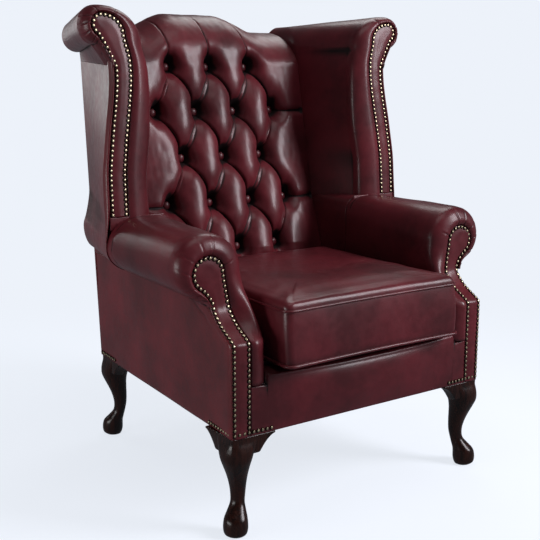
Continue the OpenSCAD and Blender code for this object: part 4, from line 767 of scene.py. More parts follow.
def front_nails(path, front, side, name, *nodes):
    """Nails at equal steps along the covered front itself, so also down its lean."""
    path = along(path, 600)
    path = points_at(path[:, 0], front(path[:, 1]) + 0.4, path[:, 1])
    length = np.linalg.norm(np.diff(path, axis=0), axis=1).sum()
    points = along(path, max(2, round(length / NAIL_PITCH) + 1))
    z = points[:, 2]
    step = 2
    slope = (front(z + step) - front(z - step)) / (2 * step)
    facings = points_at(0, -1, slope)
    return nailed(name, points, facings, side, *nodes)


# Back
COLUMN, ROW = BUTTON_PITCH / 8, ROW_PITCH / 4
RISE_BOW, FALL_BOW, PLEAT_STEP = -0.1, 0.6, 12.8
# Buttons by column and row: three and four in turn, in steps of eighths of the pitch
THREE, FOUR = (-8, 0, 8), (-12, -4, 4, 12)
BUTTONS = [(c, r) for r in range(0, 17, 4) for c in (FOUR if r % 8 else THREE)]


def lounge_line(z):
    """Depth of the inside back along its middle."""
    return LOUNGE_Y + (np.maximum(z, LOUNGE_FOOT) - ARM_TOP) * RECLINE


def lounge_face(x, z):
    """Depth of the inside back, rounded towards the creases."""
    return mix(lounge_line(z), crease_y(z), np.clip(np.abs(x) / SEAT_HALF, 0, 1)**3)


def crest_z(x):
    """Height of the camel-backed crest, which has its wider shoulder on the right hand side."""
    shoulder, low = np.where(x < 0, 72, 56), 196
    return CREST_Z + 2.5 - CREST_DROP * eased((np.abs(x) - shoulder) / (low - shoulder))


def diamond(x, h):
    """Column and row of a place on the face, and its phases across the two kinds of pleat."""
    col, row = x / COLUMN, (TOP_ROW - h) / ROW
    # Each pleat bows up to the right between its buttons, the one down to the right bows more
    bow = np.sin(np.pi * np.clip(row, 0, 16) / 4)**2
    return col, row, col + row - RISE_BOW * bow, col - row - FALL_BOW * bow, bow


def pleat_distance(phase):
    """Millimetres from the nearest pleat."""
    return np.abs(phase / 8 - np.round(phase / 8)) * 8 * PLEAT_STEP


def tuft(x, h):
    """How far the hide lies behind the top of the stuffing, at height h along the face."""
    col, row, rise_phase, fall_phase, bow = diamond(x, h)
    rise, fall = pleat_distance(rise_phase), pleat_distance(fall_phase)
    m = np.mod(row, 8)
    edge = 8 + 4 * (1 - np.abs(m - 4) / 4)
    right_edge = edge + np.where(m < 4, FALL_BOW, RISE_BOW) * bow
    left_edge = -edge + np.where(m < 4, RISE_BOW, FALL_BOW) * bow
    inside = (row < 16.5) & (col <= right_edge) & (col >= left_edge)
    pillow = np.abs(np.sin(np.pi * rise_phase / 8))**0.62 * np.abs(np.sin(np.pi * fall_phase / 8))**0.4
    # The pleat down to the right is a thin deep cut, the one to the left holds a narrow tongue
    tongue = bell(rise, 2.3) * np.sin(np.pi * row / 4)**2
    field = 22 * (1 - pillow) + np.exp(-fall / 1.5) * 6.0 - 5.5 * tongue
    # Beside the field the hide falls to its edge, and a pleat runs out level from each outer button
    out = np.maximum(col - right_edge, left_edge - col) * COLUMN
    level = np.minimum(np.abs(row - 4), np.abs(row - 12)) * ROW
    beside = 21 * np.exp(-np.maximum(out, 0) / 17) + 4 * bell(out, 2)
    beside = beside + bell(level, 9) * 6 + np.exp(-level / 1.6) * 4
    # Above the top row one crease goes up and to the side from each button
    t = np.maximum(-row, 0) * ROW
    up = np.min([np.abs(x + 0.08 * t - c * COLUMN) for c in THREE], axis=0)
    above = 19 * bell(up, 24) * np.exp(-t / 26) + 5.0 * np.exp(-up / 1.6) * np.exp(-(t / 150)**4)
    depth = mix(np.where(inside, field, beside), above, eased(0.5 - row))
    # Below the bottom row the hide stays drawn in under each button
    down = np.min([np.abs(x - c * COLUMN) for c in THREE], axis=0)
    below = 18 * bell(down - 1, 22)
    depth = mix(depth, below, eased(row - 15.6))
    for c, r in BUTTONS:
        dx, dz = x - c * COLUMN, h - TOP_ROW + r * ROW
        d = np.hypot(dx, dz * np.where(dz > 0, 0.58, 0.95))
        depth = depth + 36 * np.exp(-(np.maximum(d - 6, 0) / 13)**1.5)
    return depth * eased((h - 405) / 56)


def back_grid():
    """The inside back, up its leaning face, over the crest and down to the outside back."""
    xs = np.linspace(-SEAT_HALF + GAP, SEAT_HALF - GAP, 280)
    rows = []
    top = crest_z(xs)
    z0 = top - 92
    low, close, high = 320, 460, 960
    for z in np.concatenate([np.linspace(low, close, 16)[:-1], np.linspace(close, high, 270)]):
        # The last 100 mm are stretched to follow the crest's line
        zz = np.where(z > high - 100, mix(high - 100, z0, (z - high + 100) / 100), z)
        rows.append((zz, lounge_face(xs, zz), np.zeros_like(xs)))
    y0, y1 = lounge_face(xs, z0), back_y(top) - COVER - GAP
    slope = (y0 - lounge_face(xs, z0 - 10)) / 10
    # Over the crest the face goes on in one curve, up to the ridge and down to the outside back
    reach, over, lip, full_y = 46, 160, 25, 318
    for t in np.linspace(0, 1, 46)[1:]:
        a, b, c, d = (1 - t)**3, 3 * t * (1 - t)**2, 3 * t * t * (1 - t), t**3
        y = a * y0 + b * (y0 + slope * reach) + c * full_y + d * RIDGE_Y
        z = a * z0 + b * (z0 + reach) + c * top + d * top
        rows.append((z, y, over * t + 0 * xs))
    for a in np.radians(np.linspace(90, 8, 26)[1:]):
        y, z = mix(RIDGE_Y, y1, math.cos(a)), top - lip * (1 - math.sin(a))
        rows.append((z, y, over + lip * math.cos(a) + 0 * xs))
    grid = np.stack([points_at(xs, y, z) for z, y, _ in rows], axis=1)
    far = np.stack([f for _, _, f in rows], axis=1)
    n = normals(blurred(grid, 6))
    height = np.where(far > 0, z0[:, None] + far, grid[..., 2])
    depth = tuft(grid[..., 0] + 0 * far, height)
    # On the leaning face the hide goes straight back, and over the crest it goes inwards
    inward = mix(np.array([0, 1.0, 0]), -n, eased(far / 60)[..., None])
    edge = np.minimum(1, (SEAT_HALF - np.abs(grid[..., 0])) / 6)
    grid = grid + inward * (depth * edge)[..., None]
    grid[..., 2] = np.minimum(grid[..., 2], CREST_Z + 4)
    return grid


def made_back():
    """The buttoned inside back, with painted shade in its pockets and pleats."""
    grid = back_grid()
    n = normals(grid)
    fine = lumps(grid * np.array([1.6, 1, 0.8]), 20, 9)
    grid = grid + n * (lumps(grid, 42, 2) * 1.1 + fine * 0.35)[..., None]
    shades = hollow(grid, 14, 170)
    # Painted shade in the pocket round each button, reaching further up, under the pillow above
    for c, r in BUTTONS:
        dx, dz = grid[..., 0] - c * COLUMN, grid[..., 2] - TOP_ROW + r * ROW
        d = np.hypot(dx, (dz - 4) * np.where(dz > 4, 0.5, 0.9))
        shades = shades + 0.9 * bell(np.maximum(d - 6, 0), 10)
    # Less painted shade on the raised tongues in the pleats
    _, row, rise_phase, _, bow = diamond(grid[..., 0], grid[..., 2])
    tongue = bell(pleat_distance(rise_phase), 4.0) * bow * ((row > 0) & (row < 16))
    shades = np.clip(shades - 0.5 * tongue, 0, 1)
    # The pad's sides are turned in beside the wings
    turned = grid - normals(grid) * 14
    turned[..., 0] = grid[..., 0]
    ends = [np.stack([turned[0], grid[0]]), np.stack([grid[-1], turned[-1]])]
    obj = skin("back_pad", grid, 1, shades, thick=1.6, more=ends)
    return dressed(obj, HIDE, "leather", "chair", "inside_back")


def made_buttons():
    """Covered buttons: a hide-covered dome with its fullness gathered at the rim."""
    points, faces, shades = [], [], []
    profile = [(0, 17.6), (0.25, 17.4), (0.5, 16.7), (0.72, 15.5), (0.88, 13.9), (0.98, 12.4), (1, 11.2),
               (0.7, 9), (0, 7)]
    around, button_r, sunk = 28, 11, 60
    for c, r in BUTTONS:
        x, z = c * COLUMN, TOP_ROW - r * ROW
        y = lounge_face(np.array(x), np.array(z)) + sunk
        faces += ring_faces(len(profile), around, start=len(points))
        for share, rise in profile:
            for i in range(around):
                a = 2 * math.pi * i / around
                out = button_r * share * (1 - 0.03 * share * math.cos(7 * a))
                points.append((x + out * math.cos(a), y - rise, z + out * math.sin(a)))
                # Painted shade: the button is dark, darker still towards its rim in the pocket
                shades.append(0.5 + 0.6 * max(0, share - 0.6))
    obj = mesh_piece("covered_buttons", points, faces, shades)
    tidy_mesh(obj)
    return dressed(obj, HIDE, "leather", "chair", "back_buttons")


# Outside covers
def made_outside_arm(side, name):
    """The flat cover of the arm's outside, from its nailed front edge to the outside back."""
    u, v = np.linspace(0, 1, 90)[:, None], np.linspace(0, 1, 150)[None, :]
    front_y, rear_y = ARM_FACE_Y + FACING + 1, back_y(ROLL_UNDER_REAR - 1) - COVER - GAP
    top_y = np.array([front_y, ARM_FACE_Y + ROUND_DEPTH, WING_FOOT_Y + FACING,
                      back_y(ROLL_UNDER_REAR) - COVER])
    top_z = np.array([ROLL_UNDER - 1, ROLL_UNDER - 1, ROLL_UNDER_REAR - 1, ROLL_UNDER_REAR - 0.5])
    z_top = np.interp(mix(front_y, rear_y, v), top_y, top_z)
    z = mix(BASE_Z, z_top, 1 - u)
    front = arm_front(z) + 0.6
    # The first few columns lie close together, where the hide rolls round to the nails
    y = mix(front, back_y(z) - COVER - GAP, v**1.7)
    grid = points_at(side_x(y), y, z)
    middle = np.sin(np.pi * v) * np.sin(np.pi * u)
    proud = 2.2 * np.maximum(middle, 0)**0.6 - 1.5 * np.exp(-(z - BASE_Z) / 2.5)
    proud = proud + lumps(grid, 120, 6 + side) * 1.2
    proud = proud + 4.5 * np.exp(-(y - front) / 38) * eased((z_top - z) / 60)
    proud = proud - 5.0 * np.exp(-(y - front) / 4.5)
    # Drag folds run from the neck of the scroll, where the hide is pulled under the roll
    dy, dz = y - (ARM_FACE_Y + 12), z_top - z
    pull = np.exp(-np.hypot(dy / 70, dz / 30)**1.5)
    fold = np.maximum(np.sin((dz + dy * 0.35) / 5.2 + 1.5 * lumps(grid, 40, 15)), 0)
    grid[..., 0] += proud - pull * fold * 2.6
    return skin(name, grid, side)


def softened(values, first, last, rounds):
    """Rounds off a bend between those two places of a row of values or points."""
    for _ in range(rounds):
        values[first:last] = (values[first - 1:last - 1] + values[first + 1:last + 1]
                              + 2 * values[first:last]) / 4


def outside_wing_grid():
    """The outside of the wing, down over the arm's roll and under it."""
    upper_rows, wing_end_z = 90, 978.5
    z_up = mix(wing_end_z, WING_FOOT_Z, np.linspace(0, 1, upper_rows))
    a = np.radians(np.linspace(25, -90, 56))[1:]
    round_x = ARM_X + (ARM_ROLL + 1.8) * np.where(a > 0, np.cos(a * 0.5), np.cos(a))
    round_z = ARM_ROLL_Z + np.where(a > 0, ARM_RISE, 56.5) * np.sin(a)
    foot_x = side_x(WING_FOOT_Y + FACING) + 3
    front = np.concatenate([points_at(wing_line(z_up) + WING_STRIP + 9, z_up),
                            points_at(round_x, round_z),
                            [[mix(round_x[-1], foot_x, 0.6), ROLL_UNDER_REAR + 4],
                             [foot_x, ROLL_UNDER_REAR]]])
    softened(front, upper_rows - 10, upper_rows + 20, 10)
    rear_x = side_x(back_y(ARM_TOP) - COVER)
    rear_arc = rear_x + 28 * np.where(a > 0, np.cos(a * 2), np.cos(a))
    rear = np.concatenate([0 * z_up + WING_TAIL - 3, rear_arc, [rear_x + 3, rear_x + 3]])
    softened(rear, upper_rows - 12, upper_rows + 22, 14)
    row, z = np.arange(len(front)), front[:, 1]
    # Its front edge wraps round to the wing's facing above, and laps the arm below
    settle = eased((row - upper_rows + 8) / 14.0)
    lap = WING_FOOT_Y + FACING - 7
    start = np.where(row < upper_rows, mix(wing_front(z), lap, settle), lap)
    t = np.linspace(0, 1, 16)
    rings = []
    for w, b in zip(smooth([0.04, 0.35, 0.75, 1], t), smooth([0.03, -0.08, 0.0, 0.3], t)):
        x = front[:, 0] - 9 * (1 - w) * (1 - settle)
        rings.append(points_at(x, start + ROUND_DEPTH * b * (1 - settle), z))
    y0, y1 = rings[-1][:, 1], back_y(z) - COVER - GAP
    for t in np.linspace(0, 1, 60)[1:]:
        rings.append(points_at(mix(front[:, 0], rear, t), mix(y0, y1, t), z))
    return np.stack(rings, axis=1)


def made_outside_wing(side, name):
    """The cover of the wing's outside."""
    grid = outside_wing_grid()
    n = normals(grid)
    k, r = (np.linspace(0, 1, count) for count in grid.shape[:2])
    calm = np.sin(np.pi * k)[:, None] * np.sin(np.pi * r)[None, :]
    grid = grid + n * (lumps(grid, 130, 21 + side) * 1.6 * calm)[..., None]
    # Its rear edge is turned in behind the post
    rear = grid[:, -1]
    turned = np.column_stack([np.minimum(rear[:, 0], BASE_REAR - 5), rear[:, 1:]])
    hem = np.stack([mix(rear, turned, t) for t in (0, 0.4, 1)], axis=1)
    return skin(name, grid, side, more=[hem])


def made_outside_back():
    """The cover of the outside back, up to the crest and out to the rear ends of the wings."""
    xs, t = np.linspace(1, -1, 160)[:, None], np.linspace(0, 1, 150)[None, :]
    shoulder_z, below_crest, waist = 979.5, 12.5, 0.92
    # Half-width by height: straight, then in over the wings' ends, then the crest
    x = xs * mix(BASE_REAR - GAP, WING_TAIL - 6, np.minimum(t / waist, 1))
    past = np.abs(x) - SEAT_HALF
    crest = crest_z(x) - below_crest
    edge_z = crest_z(np.array(SEAT_HALF)) - below_crest
    top = np.where(past < 0, crest, mix(edge_z, shoulder_z, past / 40))
    z = mix(BASE_Z, top, t)
    grid = points_at(x, back_y(z), z)
    edge = np.minimum(np.minimum(1 - np.abs(xs), t * 1.4), 1 - t) * 290
    proud = 2.4 * eased(edge / 60) - 2.5 * np.exp(-edge / 1.6) + lumps(grid, 140, 4) * 1.2 * eased(edge / 40)
    grid[..., 1] += proud - 1.0
    # Its edges are turned forward round the frame
    turn = np.array([0, 4.5, 0])
    grid = np.concatenate([grid[:1] - turn, grid, grid[-1:] - turn])
    grid = np.concatenate([grid, grid[:, -1:] - turn], axis=1)
    return dressed(skin("outside_back_cover", grid), HIDE_PANEL_PAINTED_LIGHTER, "leather", "chair", "outside_back")


# Seat front
def made_border():
    """The padded border along the front of the seat, fullest at its middle."""
    half, full_half, clear_half = 298.7, 238, 260
    low_top, high_top = 314.4, 336
    xs = np.linspace(-half, half, 220)
    t = np.linspace(0, 1, 90)
    up = smooth([0, 0.02, 0.14, 0.35, 0.55, 0.75, 0.88, 0.96, 1, 1], t)
    fore = smooth([-0.2, 0, 0.35, 0.8, 1, 1, 0.75, 0.25, -2.4, -5.5], t)
    out = np.where(np.abs(xs) < full_half, smooth([1, 0.95, 0.8, 0.56, 0.32], np.abs(xs) / full_half),
                   np.interp(np.abs(xs), [full_half, half], [0.32, 0]))
    # Between the arms it stands higher than in front of them
    inner = eased((clear_half - np.abs(xs)) / 2.5)
    top = mix(low_top, high_top, inner)
    z = mix(BASE_Z, top[:, None], up)
    face = -FRONT - 18 * out[:, None]
    y = np.where(fore >= 0, mix(-FRONT, face, fore), -FRONT - fore * FACING)
    y = np.where((fore < -1) & (inner[:, None] < 0.5), -FRONT + 2 - fore, y)
    grid = points_at(xs[:, None], y, z)
    calm = eased((half - 0.7 - np.abs(xs)) / 40)[:, None] * np.sin(np.pi * t)[None, :]
    bulge = lumps(grid * np.array([1, 1, 0.5]), 70, 14) * 1.6 * calm
    grid = grid + normals(grid) * bulge[..., None]
    obj = skin("seat_border", grid)
    return dressed(obj, HIDE, "leather", "chair", "front_border")


# Cushion
# Rise of the crown, in millimetres, at shares of the way from its piping to its middle
CROWN_SHARES = [0, 0.002, 0.008, 0.018, 0.032, 0.05, 0.1, 0.2, 0.35, 1]
CROWN_RISE = [0, 4.7, 8.6, 12, 14.8, 17.3, 21.3, 24.8, 26.4, 27]
CUSHION_FOOT = 345.35


def cushion_outline(z, inset=0.0, shrink=0.0, corner_steps=8, side_steps=26):
    """The cushion's outline at a height: its sides are drawn in a little, and its foot stands forward."""
    w, rear, r, pull = 235 - inset, 92 - inset, 16.0, 5.0
    lean = 8 * np.clip((CUSHION_HIGH - z) / (CUSHION_HIGH - CUSHION_LOW), 0, 1)
    front = -394 - lean + inset
    corners = [(-w + r, front + r, 180), (w - r, front + r, 270), (w - r, rear - r, 0),
               (-w + r, rear - r, 90)]
    ring = []
    for q, (x0, y0, turn) in enumerate(corners):
        x1, y1, _ = corners[(q + 1) % 4]
        for a in np.radians(turn + np.linspace(0, 90, corner_steps + 1)):
            ring.append((x0 + r * math.cos(a), y0 + r * math.sin(a)))
        out = (math.cos(a), math.sin(a))
        p, q_end = ring[-1], (x1 + r * out[0], y1 + r * out[1])
        # The rear side stays straight, along the zip
        drawn = 0 if q == 2 else pull
        for t in np.linspace(0, 1, side_steps + 1)[1:-1]:
            draw = drawn * math.sin(math.pi * t)
            ring.append((mix(p[0], q_end[0], t) - out[0] * draw, mix(p[1], q_end[1], t) - out[1] * draw))
    ring = np.array(ring)
    middle = (front + rear) / 2
    ring[:, 1] = middle + (ring[:, 1] - middle) * (1 - shrink)
    ring[:, 0] *= 1 - shrink
    return points_at(ring[:, 0], ring[:, 1], z)


def cushion_rings():
    """Rings from the middle of the underside, round the border, to the middle of the top."""
    rings = [cushion_outline(345.4, 6, s) for s in (0.98, 0.8, 0.6, 0.4, 0.2, 0.08)]
    rings += [cushion_outline(345.8, 3), cushion_outline(348, 2.5)]
    for t in np.linspace(0.03, 0.97, 22):
        rings.append(cushion_outline(mix(CUSHION_LOW, CUSHION_HIGH, t), 2.2 - 2.8 * math.sin(math.pi * t)))
    # The crowned top swells up at once behind the piping
    for s in CROWN_SHARES[:6] + [0.075, 0.1, 0.14, 0.2, 0.27, 0.36, 0.47, 0.6, 0.74, 0.88, 0.98]:
        inset = 2 - 1.5 * math.sin(math.pi * min(1, s * 18))
        rise = np.interp(s, CROWN_SHARES, CROWN_RISE)
        rings.append(cushion_outline(CUSHION_HIGH, inset, s) + np.array([0, 0, rise]))
    return rings


def made_cushion():
    """The cushion's cover: swelled by its stuffing, with a little unevenness on its top."""
    before, faces = capped(cushion_rings())
    obj = mesh_piece("cushion_cover_leather", before, faces)
    held = obj.vertex_groups.new(name="sewn")
    z = before[:, 2]
    sewn = (z < CUSHION_LOW + 2) | (np.abs(z - CUSHION_HIGH) < 3.0)
    held.add(np.flatnonzero(sewn).tolist(), 1.0, "REPLACE")
    inflate(obj, held, frames=16)
    move = np.array([v.co for v in obj.data.vertices]) / MM - before
    length = np.linalg.norm(move, axis=1, keepdims=True)
    furthest = 4.0
    move = move * np.minimum(1, furthest / np.maximum(length, 1e-6))
    # The stuffing only lifts the top, and the hide stays put at the piping
    crown = z > CUSHION_HIGH + 0.5
    move[crown, 2] = np.maximum(move[crown, 2], 0)
    move[crown & (z < CUSHION_HIGH + 18)] = 0
    co = before + move
    top = np.clip((co[:, 2] - CUSHION_HIGH - 2) / 10, 0, 1)
    front = np.clip((co[:, 1] + 380) / -20, 0, 1)
    # Its top is a little uneven with fine creases, and its front border waves slightly
    seat = np.array([noise.fractal(Vector((x / 110, y / 90, 4.2)), 0.7, 2.0, 3) for x, y, _ in co])
    crease = np.array([abs(noise.noise(Vector((x / 55 + 3, y / 38, h / 60)))) for x, y, h in co])
    co[:, 2] += top * (0.8 + seat * 1.6 - bell(crease, 0.045) * 0.8)
    wave = np.array([noise.noise(Vector((x / 34, 9.1, h / 160))) for x, _, h in co])
    up = np.clip((co[:, 2] - CUSHION_LOW) / (CUSHION_HIGH - CUSHION_LOW), 0, 1)
    band = ((co[:, 2] > CUSHION_LOW + 2) & (co[:, 2] < CUSHION_HIGH - 2)) * np.sin(np.pi * up)
    co[:, 1] -= front * band * wave * 2.2
    co[:, 2] = np.clip(co[:, 2], CUSHION_FOOT, CUSHION_HIGH + 30)
    obj.data.vertices.foreach_set("co", np.ravel(co * MM))
    # Painted shade along both piped seams and in the fine creases of the top
    seam_shade = np.exp(-np.abs(z - CUSHION_HIGH) / 5) * 0.35 + np.exp(-np.abs(z - CUSHION_LOW) / 9) * 0.5
    shades = np.clip(0.28 + seam_shade + 0.15 * bell(crease, 0.05) * top, 0, 1)
    obj.data.attributes.new("shade", "FLOAT", "POINT").data.foreach_set("value", shades)
    tidy_mesh(obj)
    soft = obj.modifiers.new("soft", "SUBSURF")
    soft.levels = soft.render_levels = 1
    return dressed(obj, HIDE, "leather", "cushion", "cushion_cover")


def inflate(obj, held, frames):
    """Lets the stuffing push the hide out between its sewn edges."""
    cloth = obj.modifiers.new("stuffing", "CLOTH")
    hide = cloth.settings
    hide.quality, hide.mass, hide.bending_stiffness = 5, 0.4, 3
    hide.tension_stiffness = hide.compression_stiffness = 40
    hide.use_pressure, hide.uniform_pressure_force = True, 4
    hide.vertex_group_mass = held.name
    hide.effector_weights.gravity = 0
    cloth.collision_settings.use_collision = False
    cloth.point_cache.frame_start, cloth.point_cache.frame_end = 1, frames
    scene = bpy.context.scene
    for f in range(1, frames + 1):
        scene.frame_set(f)
    graph = bpy.context.evaluated_depsgraph_get()
    baked = bpy.data.meshes.new_from_object(obj.evaluated_get(graph))
    obj.modifiers.remove(cloth)
    co = np.zeros(len(baked.vertices) * 3)
    baked.vertices.foreach_get("co", co)
    obj.data.vertices.foreach_set("co", co)
    bpy.data.meshes.remove(baked)
    scene.frame_set(1)


def made_piping(z, name, node, radius):
    """A hide-covered cord sewn round the cushion's edge."""
    path = cushion_outline(z, 4.2 - radius, 0, 12, 60)
    ahead, behind = np.roll(path, -1, axis=0), np.roll(path, 1, axis=0)
    run = (ahead - behind) / np.linalg.norm(ahead - behind, axis=1, keepdims=True)
    out = points_at(run[:, 1], -run[:, 0], 0)
    turns = np.linspace(0, 2 * np.pi, 13)[:-1]
    strands = []
    for a in turns:
        r = (radius + 0.12 * np.sin(np.arange(len(path)) * 2.1 + a))[:, None]
        strands.append(path + r * (out * np.cos(a) + np.array([0, 0, 1]) * np.sin(a)))
    points = np.stack(strands, axis=1).reshape(-1, 3)
    # Painted shade on the side of the cord that lies against the cushion, lighter on its outer side
    shades = np.tile(np.clip(0.42 - 0.3 * np.cos(turns), 0, 1), len(path))
    obj = mesh_piece(name, points, ring_faces(len(path), len(turns), loop=True), shades)
    tidy_mesh(obj)
    return dressed(obj, HIDE, "leather", "cushion", node)


# Legs
# Up the leg: shares of its height, of its lean outwards, of its thickness, and how round it is
LEG_HIGH = [0, 0.025, 0.07, 0.13, 0.18, 0.24, 0.31, 0.4, 0.5, 0.6, 0.69, 0.77, 0.84, 0.9, 0.95, 1]
LEG_OUT = [0.9, 1, 1, 0.97, 0.87, 0.54, 0.2, 0.06, 0.12, 0.3, 0.5, 0.6, 0.5, 0.3, 0.1, 0]
LEG_FAT = [0.3, 0.78, 1, 0.98, 0.82, 0.4, 0, 0.04, 0.18, 0.4, 0.66, 0.9, 1, 1, 0.98, 0.98]
LEG_SQUARE = [1, 1, 1, 1, 1, 1, 1, 1, 1, 0.98, 0.94, 0.86, 0.72, 0.5, 0.3, 0.12]


def leg_rings(centre, turn, side):
    """Rings up a cabriole leg that leans out to its corner; turn is -1 in front and 1 behind."""
    ankle, foot, knee, reach = 15, 25.6, 33, 24 / math.sqrt(2)
    radius = [mix(ankle, foot if i < 6 else knee, share) for i, share in enumerate(LEG_FAT)]
    t = np.linspace(0, 1, 76)
    high, out = smooth(LEG_HIGH, t) * BASE_Z, smooth(LEG_OUT, t) * reach
    fat, square = smooth(radius, t), smooth(LEG_SQUARE, t)
    a = np.linspace(0, 2 * np.pi, 49)[:-1] + np.pi / 48
    u = points_at(np.cos(a), np.sin(a))
    rings = []
    for h, o, f, sq in zip(high, out, fat, square):
        # The front corner of the knee keeps a soft ridge down to the ankle
        ridge = 1.4 * math.exp(-((h - 125) / 45)**2) * bell(a - np.pi / 4, 0.16)
        p = np.sign(u) * np.abs(u)**sq * f + u * ridge[:, None] + o
        x, y = (p[:, 0] + centre[0]) * side, p[:, 1] * turn + centre[1]
        rings.append(points_at(x, y, h))
    return rings


def made_leg(name, centre, turn, side, node):
    """One cabriole leg with its pad foot."""
    obj = mesh_piece(name, *capped(leg_rings(centre, turn, side)))
    tidy_mesh(obj)
    return dressed(obj, MAHOGANY, "mahogany", "chair", node)


def made_knee_blocks():
    """The shaped blocks beside the legs, swept up from the knee to a thin end."""
    # Each block starts at a leg's corner, runs along the base and goes back inwards from its face
    blocks = [((277, -361), (-1, 0), (0, 1)), ((343, -295), (0, 1), (-1, 0)),
              ((292.7, 271.5), (0, -1), (-1, 0)), ((226.7, 337.5), (-1, 0), (0, -1))]
    along_n, deep_n, into, length, deep, thin, full = 24, 8, 15, 38, 26, 5, 42
    points, faces = [], []
    for side in (1, -1):
        for corner, run, inward in blocks:
            start, row = len(points), deep_n * 2
            for d in np.linspace(-into, length, along_n):
                t = max(0, d / length)
                low = thin + (full - thin) * max(0, 1 - t)**1.7
                for q in np.linspace(0, 1, deep_n):
                    # Its face bulges with the knee and goes back towards its foot
                    bulge = 5 * (1 - t)**2 * math.sin(math.pi * min(1, 0.25 + 0.75 * (1 - q)))
                    for drop, proud in ((0, bulge * 0.3), (low * (1 - 0.12 * (1 - q)**2), bulge)):
                        back = deep * q - proud * (1 - q)
                        x, y = (corner[k] + run[k] * d + inward[k] * back for k in (0, 1))
                        points.append((x * side, y, BASE_Z - drop))
            for i in range(along_n - 1):
                for j in range(deep_n - 1):
                    a = start + i * row + 2 * j
                    faces += [(a, a + 2, a + row + 2, a + row), (a + 1, a + row + 1, a + row + 3, a + 3)]
                for a in (start + i * row, start + i * row + row - 2):
                    faces.append((a, a + row, a + row + 1, a + 1))
            for end in (start, start + (along_n - 1) * row):
                faces += [(a, a + 1, a + 3, a + 2) for a in range(end, end + row - 2, 2)]
    obj = mesh_piece("shaped_knee_blocks", points, faces)
    tidy_mesh(obj)
    round_off = obj.modifiers.new("eased edges", "BEVEL")
    round_off.width, round_off.segments, round_off.limit_method = 1.6 * MM, 3, "ANGLE"
    return dressed(obj, MAHOGANY, "mahogany", "chair", "knee_blocks")


# Making the chair
NAIL_FOOT_Z = 219.0
arm_path = arm_edge_path()
arm_crown = LINE_ROWS + 72
arm_left = np.concatenate([[[FACING_INNER_X, BASE_Z]], arm_path[:arm_crown]])
arm_right = np.concatenate([[[BASE_FRONT, BASE_Z]], arm_path[arm_crown - 1:][::-1]])
lowest = NAIL_FOOT_Z + NAIL_PITCH
arm_nail_path = drawn_in(np.concatenate([along([[FACING_INNER_X, lowest], arm_path[0]], 12)[:-1], arm_path,
                                         along([[BASE_FRONT, 452], [BASE_FRONT, lowest]], 20)]), NAIL_INSET)
wing_path = wing_outlines()[0]
wing_crown = LINE_ROWS + 66
outer_z = np.linspace(WING_NECK, WING_FOOT_Z, 60)
wing_outer = points_at(wing_line(outer_z) + WING_STRIP, outer_z)
wing_left = wing_path[:wing_crown]
wing_right = np.concatenate([wing_path[wing_crown - 1:], wing_outer])[::-1]
wing_nail_path = drawn_in(np.concatenate([wing_path, wing_outer]), NAIL_INSET)
wing_nail_path[:, 1] = np.maximum(wing_nail_path[:, 1], WING_FOOT_Z + NAIL_INSET)

COVERS = [(made_arm, HIDE, "arm_pad", "inside_arm"), (made_wing, HIDE, "wing_pad", "inside_wing"),
          (made_outside_arm, HIDE_PANEL_PAINTED_LIGHTER, "arm_cover", "outside_arm"),
          (made_outside_wing, HIDE_PANEL_PAINTED_LIGHTER, "wing_cover", "outside_wing")]
FACINGS = [("arm", arm_left, arm_right, arm_nail_path, arm_front),
           ("wing", wing_left, wing_right, wing_nail_path, wing_front)]
LEGS = [("front", (310, -328), -1), ("rear", (259.7, 304.5), 1)]
for side, hand in ((1, "left"), (-1, "right")):
    for make, hide, piece, node in COVERS:
        dressed(make(side, f"{hand}_{piece}"), hide, "leather", "chair", f"{hand}_{node}")
    for part, left, right, nail_path, front in FACINGS:
        board = facing_piece(f"{hand}_{part}_front", left, right, front, side)
        dressed(board, HIDE, "leather", "chair", f"{hand}_{part}_facing")
        front_nails(nail_path, front, side, f"{hand}_{part}_nailing", f"{hand}_{part}_nails")
    for end, centre, turn in LEGS:
        made_leg(f"{hand}_{end}_cabriole", centre, turn, side, f"{end}_{hand}_leg")

made_back()
made_buttons()
made_outside_back()
made_border()
made_cushion()
made_piping(CUSHION_HIGH, "top_piping", "cushion_piping_top", 2.9)
made_piping(CUSHION_LOW, "bottom_piping", "cushion_piping_bottom", 3.7)
made_knee_blocks()

# Nails along the foot of the base, above the legs: across the facings, on along the border, and back
# along both sides from the front and from the rear
spots, facings = [], []
first_x, last_x, border_x = BASE_FRONT - NAIL_INSET, 304.0, 298.7
side_length = (FRONT + REAR) / math.cos(SPLAY)
side_run = Vector((-math.sin(SPLAY), math.cos(SPLAY), 0))
side_out = Vector((math.cos(SPLAY), math.sin(SPLAY), 0))
for side in (1, -1):
    for i in range(4):
        spots.append((side * mix(first_x, last_x, i / 3), 0.4 - FRONT, NAIL_FOOT_Z))
    for i in range(1, 6):
        x = last_x - i * NAIL_PITCH
        # They follow the border's bulge
        bulge = 1.03 * (border_x - x) / (border_x - 238)
        spots.append((side * x, 0.2 - FRONT - bulge, NAIL_FOOT_Z))
    facings += [(0, -1, 0)] * 9
    for i in range(9):
        reach = 12.8 + i * NAIL_PITCH
        for d in (reach, side_length - reach):
            p = Vector((BASE_FRONT, -FRONT, NAIL_FOOT_Z)) + side_run * d + side_out * GAP
            spots.append((side * p.x, p.y, p.z))
            facings.append((side * side_out.x, side_out.y, 0))
nailed("base_nailing", spots, facings, 1, "base_nails")

# Pieces of the CAD model that show as they are get real finishes
CARRIED = {"beech": BEECH, "jute": JUTE, "black_felt": FELT, "deck_cloth": DECK, "foam": FOAM,
           "zip_tape": TAPE, "zip_metal": ZIP_METAL, "steel": STEEL, "leather": HIDE, "mahogany": MAHOGANY,
           "antique_nail": NAIL}
for part in frame["record"]["subparts"]:
    node = frame["nodes"][part["node"]]
    for slot in node.material_slots:
        slot.material = CARRIED[part["material_slot"]]

# Room, light and camera
BACKDROP, MIRRORED = "#edf2fa", "#6c7076"
FLOOR_LIT = 0.16


